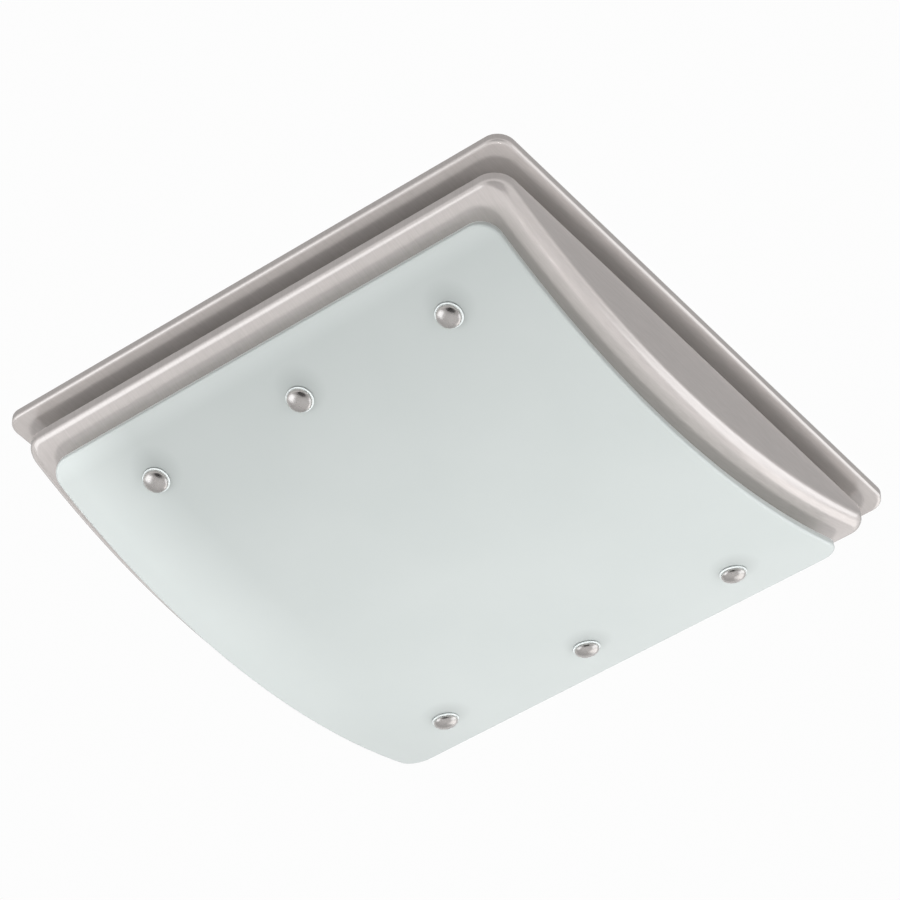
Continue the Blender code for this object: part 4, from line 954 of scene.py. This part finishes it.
# %% [markdown]
# The camera stands about 2.8 metres off, below and to one side, with a long lens. Its place, its aim and
# its small tilt come from fitting the corners of the plate, the frame and the glass.

# %% Camera
CAMERA_PLACE = Vector((1.31255, -1.57223, -1.98096))
CAMERA_AIM = Vector((0.03115, -0.03669, -0.04000))
CAMERA_TILT = 1.5620
CAMERA_LENS = 179.11
camera_data = bpy.data.cameras.new("camera")
camera_data.lens = CAMERA_LENS
camera_data.sensor_width = 36
camera_data.clip_end = 100
camera = bpy.data.objects.new("camera", camera_data)
bpy.context.scene.collection.objects.link(camera)
looking = (CAMERA_AIM - CAMERA_PLACE).to_track_quat("-Z", "Y")
camera.matrix_world = Matrix.Translation(CAMERA_PLACE) @ looking.to_matrix().to_4x4()
camera.matrix_world = camera.matrix_world @ Matrix.Rotation(math.radians(CAMERA_TILT), 4, "Z")
bpy.context.scene.camera = camera
print("camera right:", [round(value, 4) for value in camera.matrix_world.col[0][:3]])

# %% [markdown]
# Light is soft and plain. First comes an even pale surround that turns grey high above, as in a studio
# whose lamps are set low. A picture of a room could light the scene too, but its windows would show in the
# knobs.

# %% Surround
SURROUND_LOW = 0.85
SURROUND_HIGH = 0.40
SURROUND_TURN = 0.55
bpy.context.scene.view_settings.view_transform = "Standard"


def surround():
    """A white surround: its strength falls evenly from the horizon up to SURROUND_TURN, then stays."""
    world = bpy.data.worlds.new("surround")
    world.use_nodes = True
    tree = world.node_tree
    coordinates = tree.nodes.new("ShaderNodeTexCoord")
    split = tree.nodes.new("ShaderNodeSeparateXYZ")
    tree.links.new(coordinates.outputs["Generated"], split.inputs["Vector"])
    height = ranged(tree, split.outputs["Z"], SURROUND_LOW, SURROUND_HIGH, 0, SURROUND_TURN)
    background = tree.nodes["Background"]
    background.inputs["Color"].default_value = (1, 1, 1, 1)
    tree.links.new(height, background.inputs["Strength"])
    return world


bpy.context.scene.world = surround()
print("surround:", bpy.context.scene.world.name)

# %% [markdown]
# Large panels give the brushed metal its slow change from bright to grey. None of them shows to the camera.
# Three smaller lights are kept out of every reflection as well. The one straight below lays the frame's
# shadow on the plate and the glass's shadow on the frame, and the low ones at the front and the side soften
# both.

# %% Light panels
DAYLIGHT = (0.92, 0.965, 1.0)
MIDDLE = (0, 0, 0)


def light_panel(name, place, aim, size, watts, colour=(1, 1, 1)):
    """A soft light of a width and height at a place, turned to its aim, unseen by the camera."""
    data = bpy.data.lights.new(name, "AREA")
    data.energy = watts
    data.color = colour
    data.shape = "RECTANGLE"
    data.size, data.size_y = size
    panel = bpy.data.objects.new(name, data)
    bpy.context.scene.collection.objects.link(panel)
    turn = (Vector(aim) - Vector(place)).to_track_quat("-Z", "Y")
    panel.matrix_world = Matrix.Translation(place) @ turn.to_matrix().to_4x4()
    panel.visible_camera = False
    return panel


light_panel("panel_left", (-1.49, -1.44, -1.20), MIDDLE, (1.7, 1.7), 11.4, DAYLIGHT)
light_panel("panel_right", (1.66, 1.61, -0.65), MIDDLE, (1.6, 2.6), 13.4, DAYLIGHT)
light_panel("panel_far", (0.2, 3.0, -1.2), MIDDLE, (2.0, 2.0), 12)
for name, place, size, watts in (
    ("panel_below", (0.06, -0.08, -2.30), 0.4, 33),
    ("panel_side", (1.90, -0.20, -0.90), 0.8, 9),
    ("panel_front", (-0.30, -1.90, -0.90), 0.8, 8),
):
    light_panel(name, place, MIDDLE, (size, size), watts).visible_glossy = False
light_panel("panel_above", (-0.9, 1.2, 2.2), (0, 0, 0.1), (1.6, 1.6), 30)
print("lights:", len(bpy.data.lights))

# %% [markdown]
# A bright studio is dark on the camera's side, and polished metal needs that to look like metal. A dark
# card behind the camera stands for it. Only reflections see the card: it draws the dark spot in each knob
# and the soft mark in the frame's corner nearest to the camera.

# %% Dark card
CARD_PLACE = Vector((1.265, -1.533, -1.346))
CARD_RADIUS = 1.35
CARD_CORNERS = 48


def dark_card():
    """A round card that faces the fan, matt and nearly black."""
    angle = np.linspace(0, 2 * math.pi, CARD_CORNERS, endpoint=False)
    flat = np.column_stack((np.cos(angle), np.sin(angle), np.zeros(CARD_CORNERS))) * CARD_RADIUS
    turn = np.array((-CARD_PLACE).to_track_quat("Z", "Y").to_matrix())
    card = piece_from("dark_card", flat @ turn.T + np.array(CARD_PLACE), [list(range(CARD_CORNERS))])
    made, tree, shader = new_finish("card_black", {"Roughness": 0.9})
    cloud = grain(tree, 5, detail=2)
    tree.links.new(mixed(tree, cloud, (0.02, 0.02, 0.02), (0.04, 0.04, 0.04)), shader.inputs["Base Color"])
    card.visible_camera = False
    card.visible_diffuse = False
    card.visible_shadow = False
    return dress(card, made)


dark_card()
print(f"card {2 * CARD_RADIUS} m across, {CARD_PLACE.length:.2f} m from the fan")
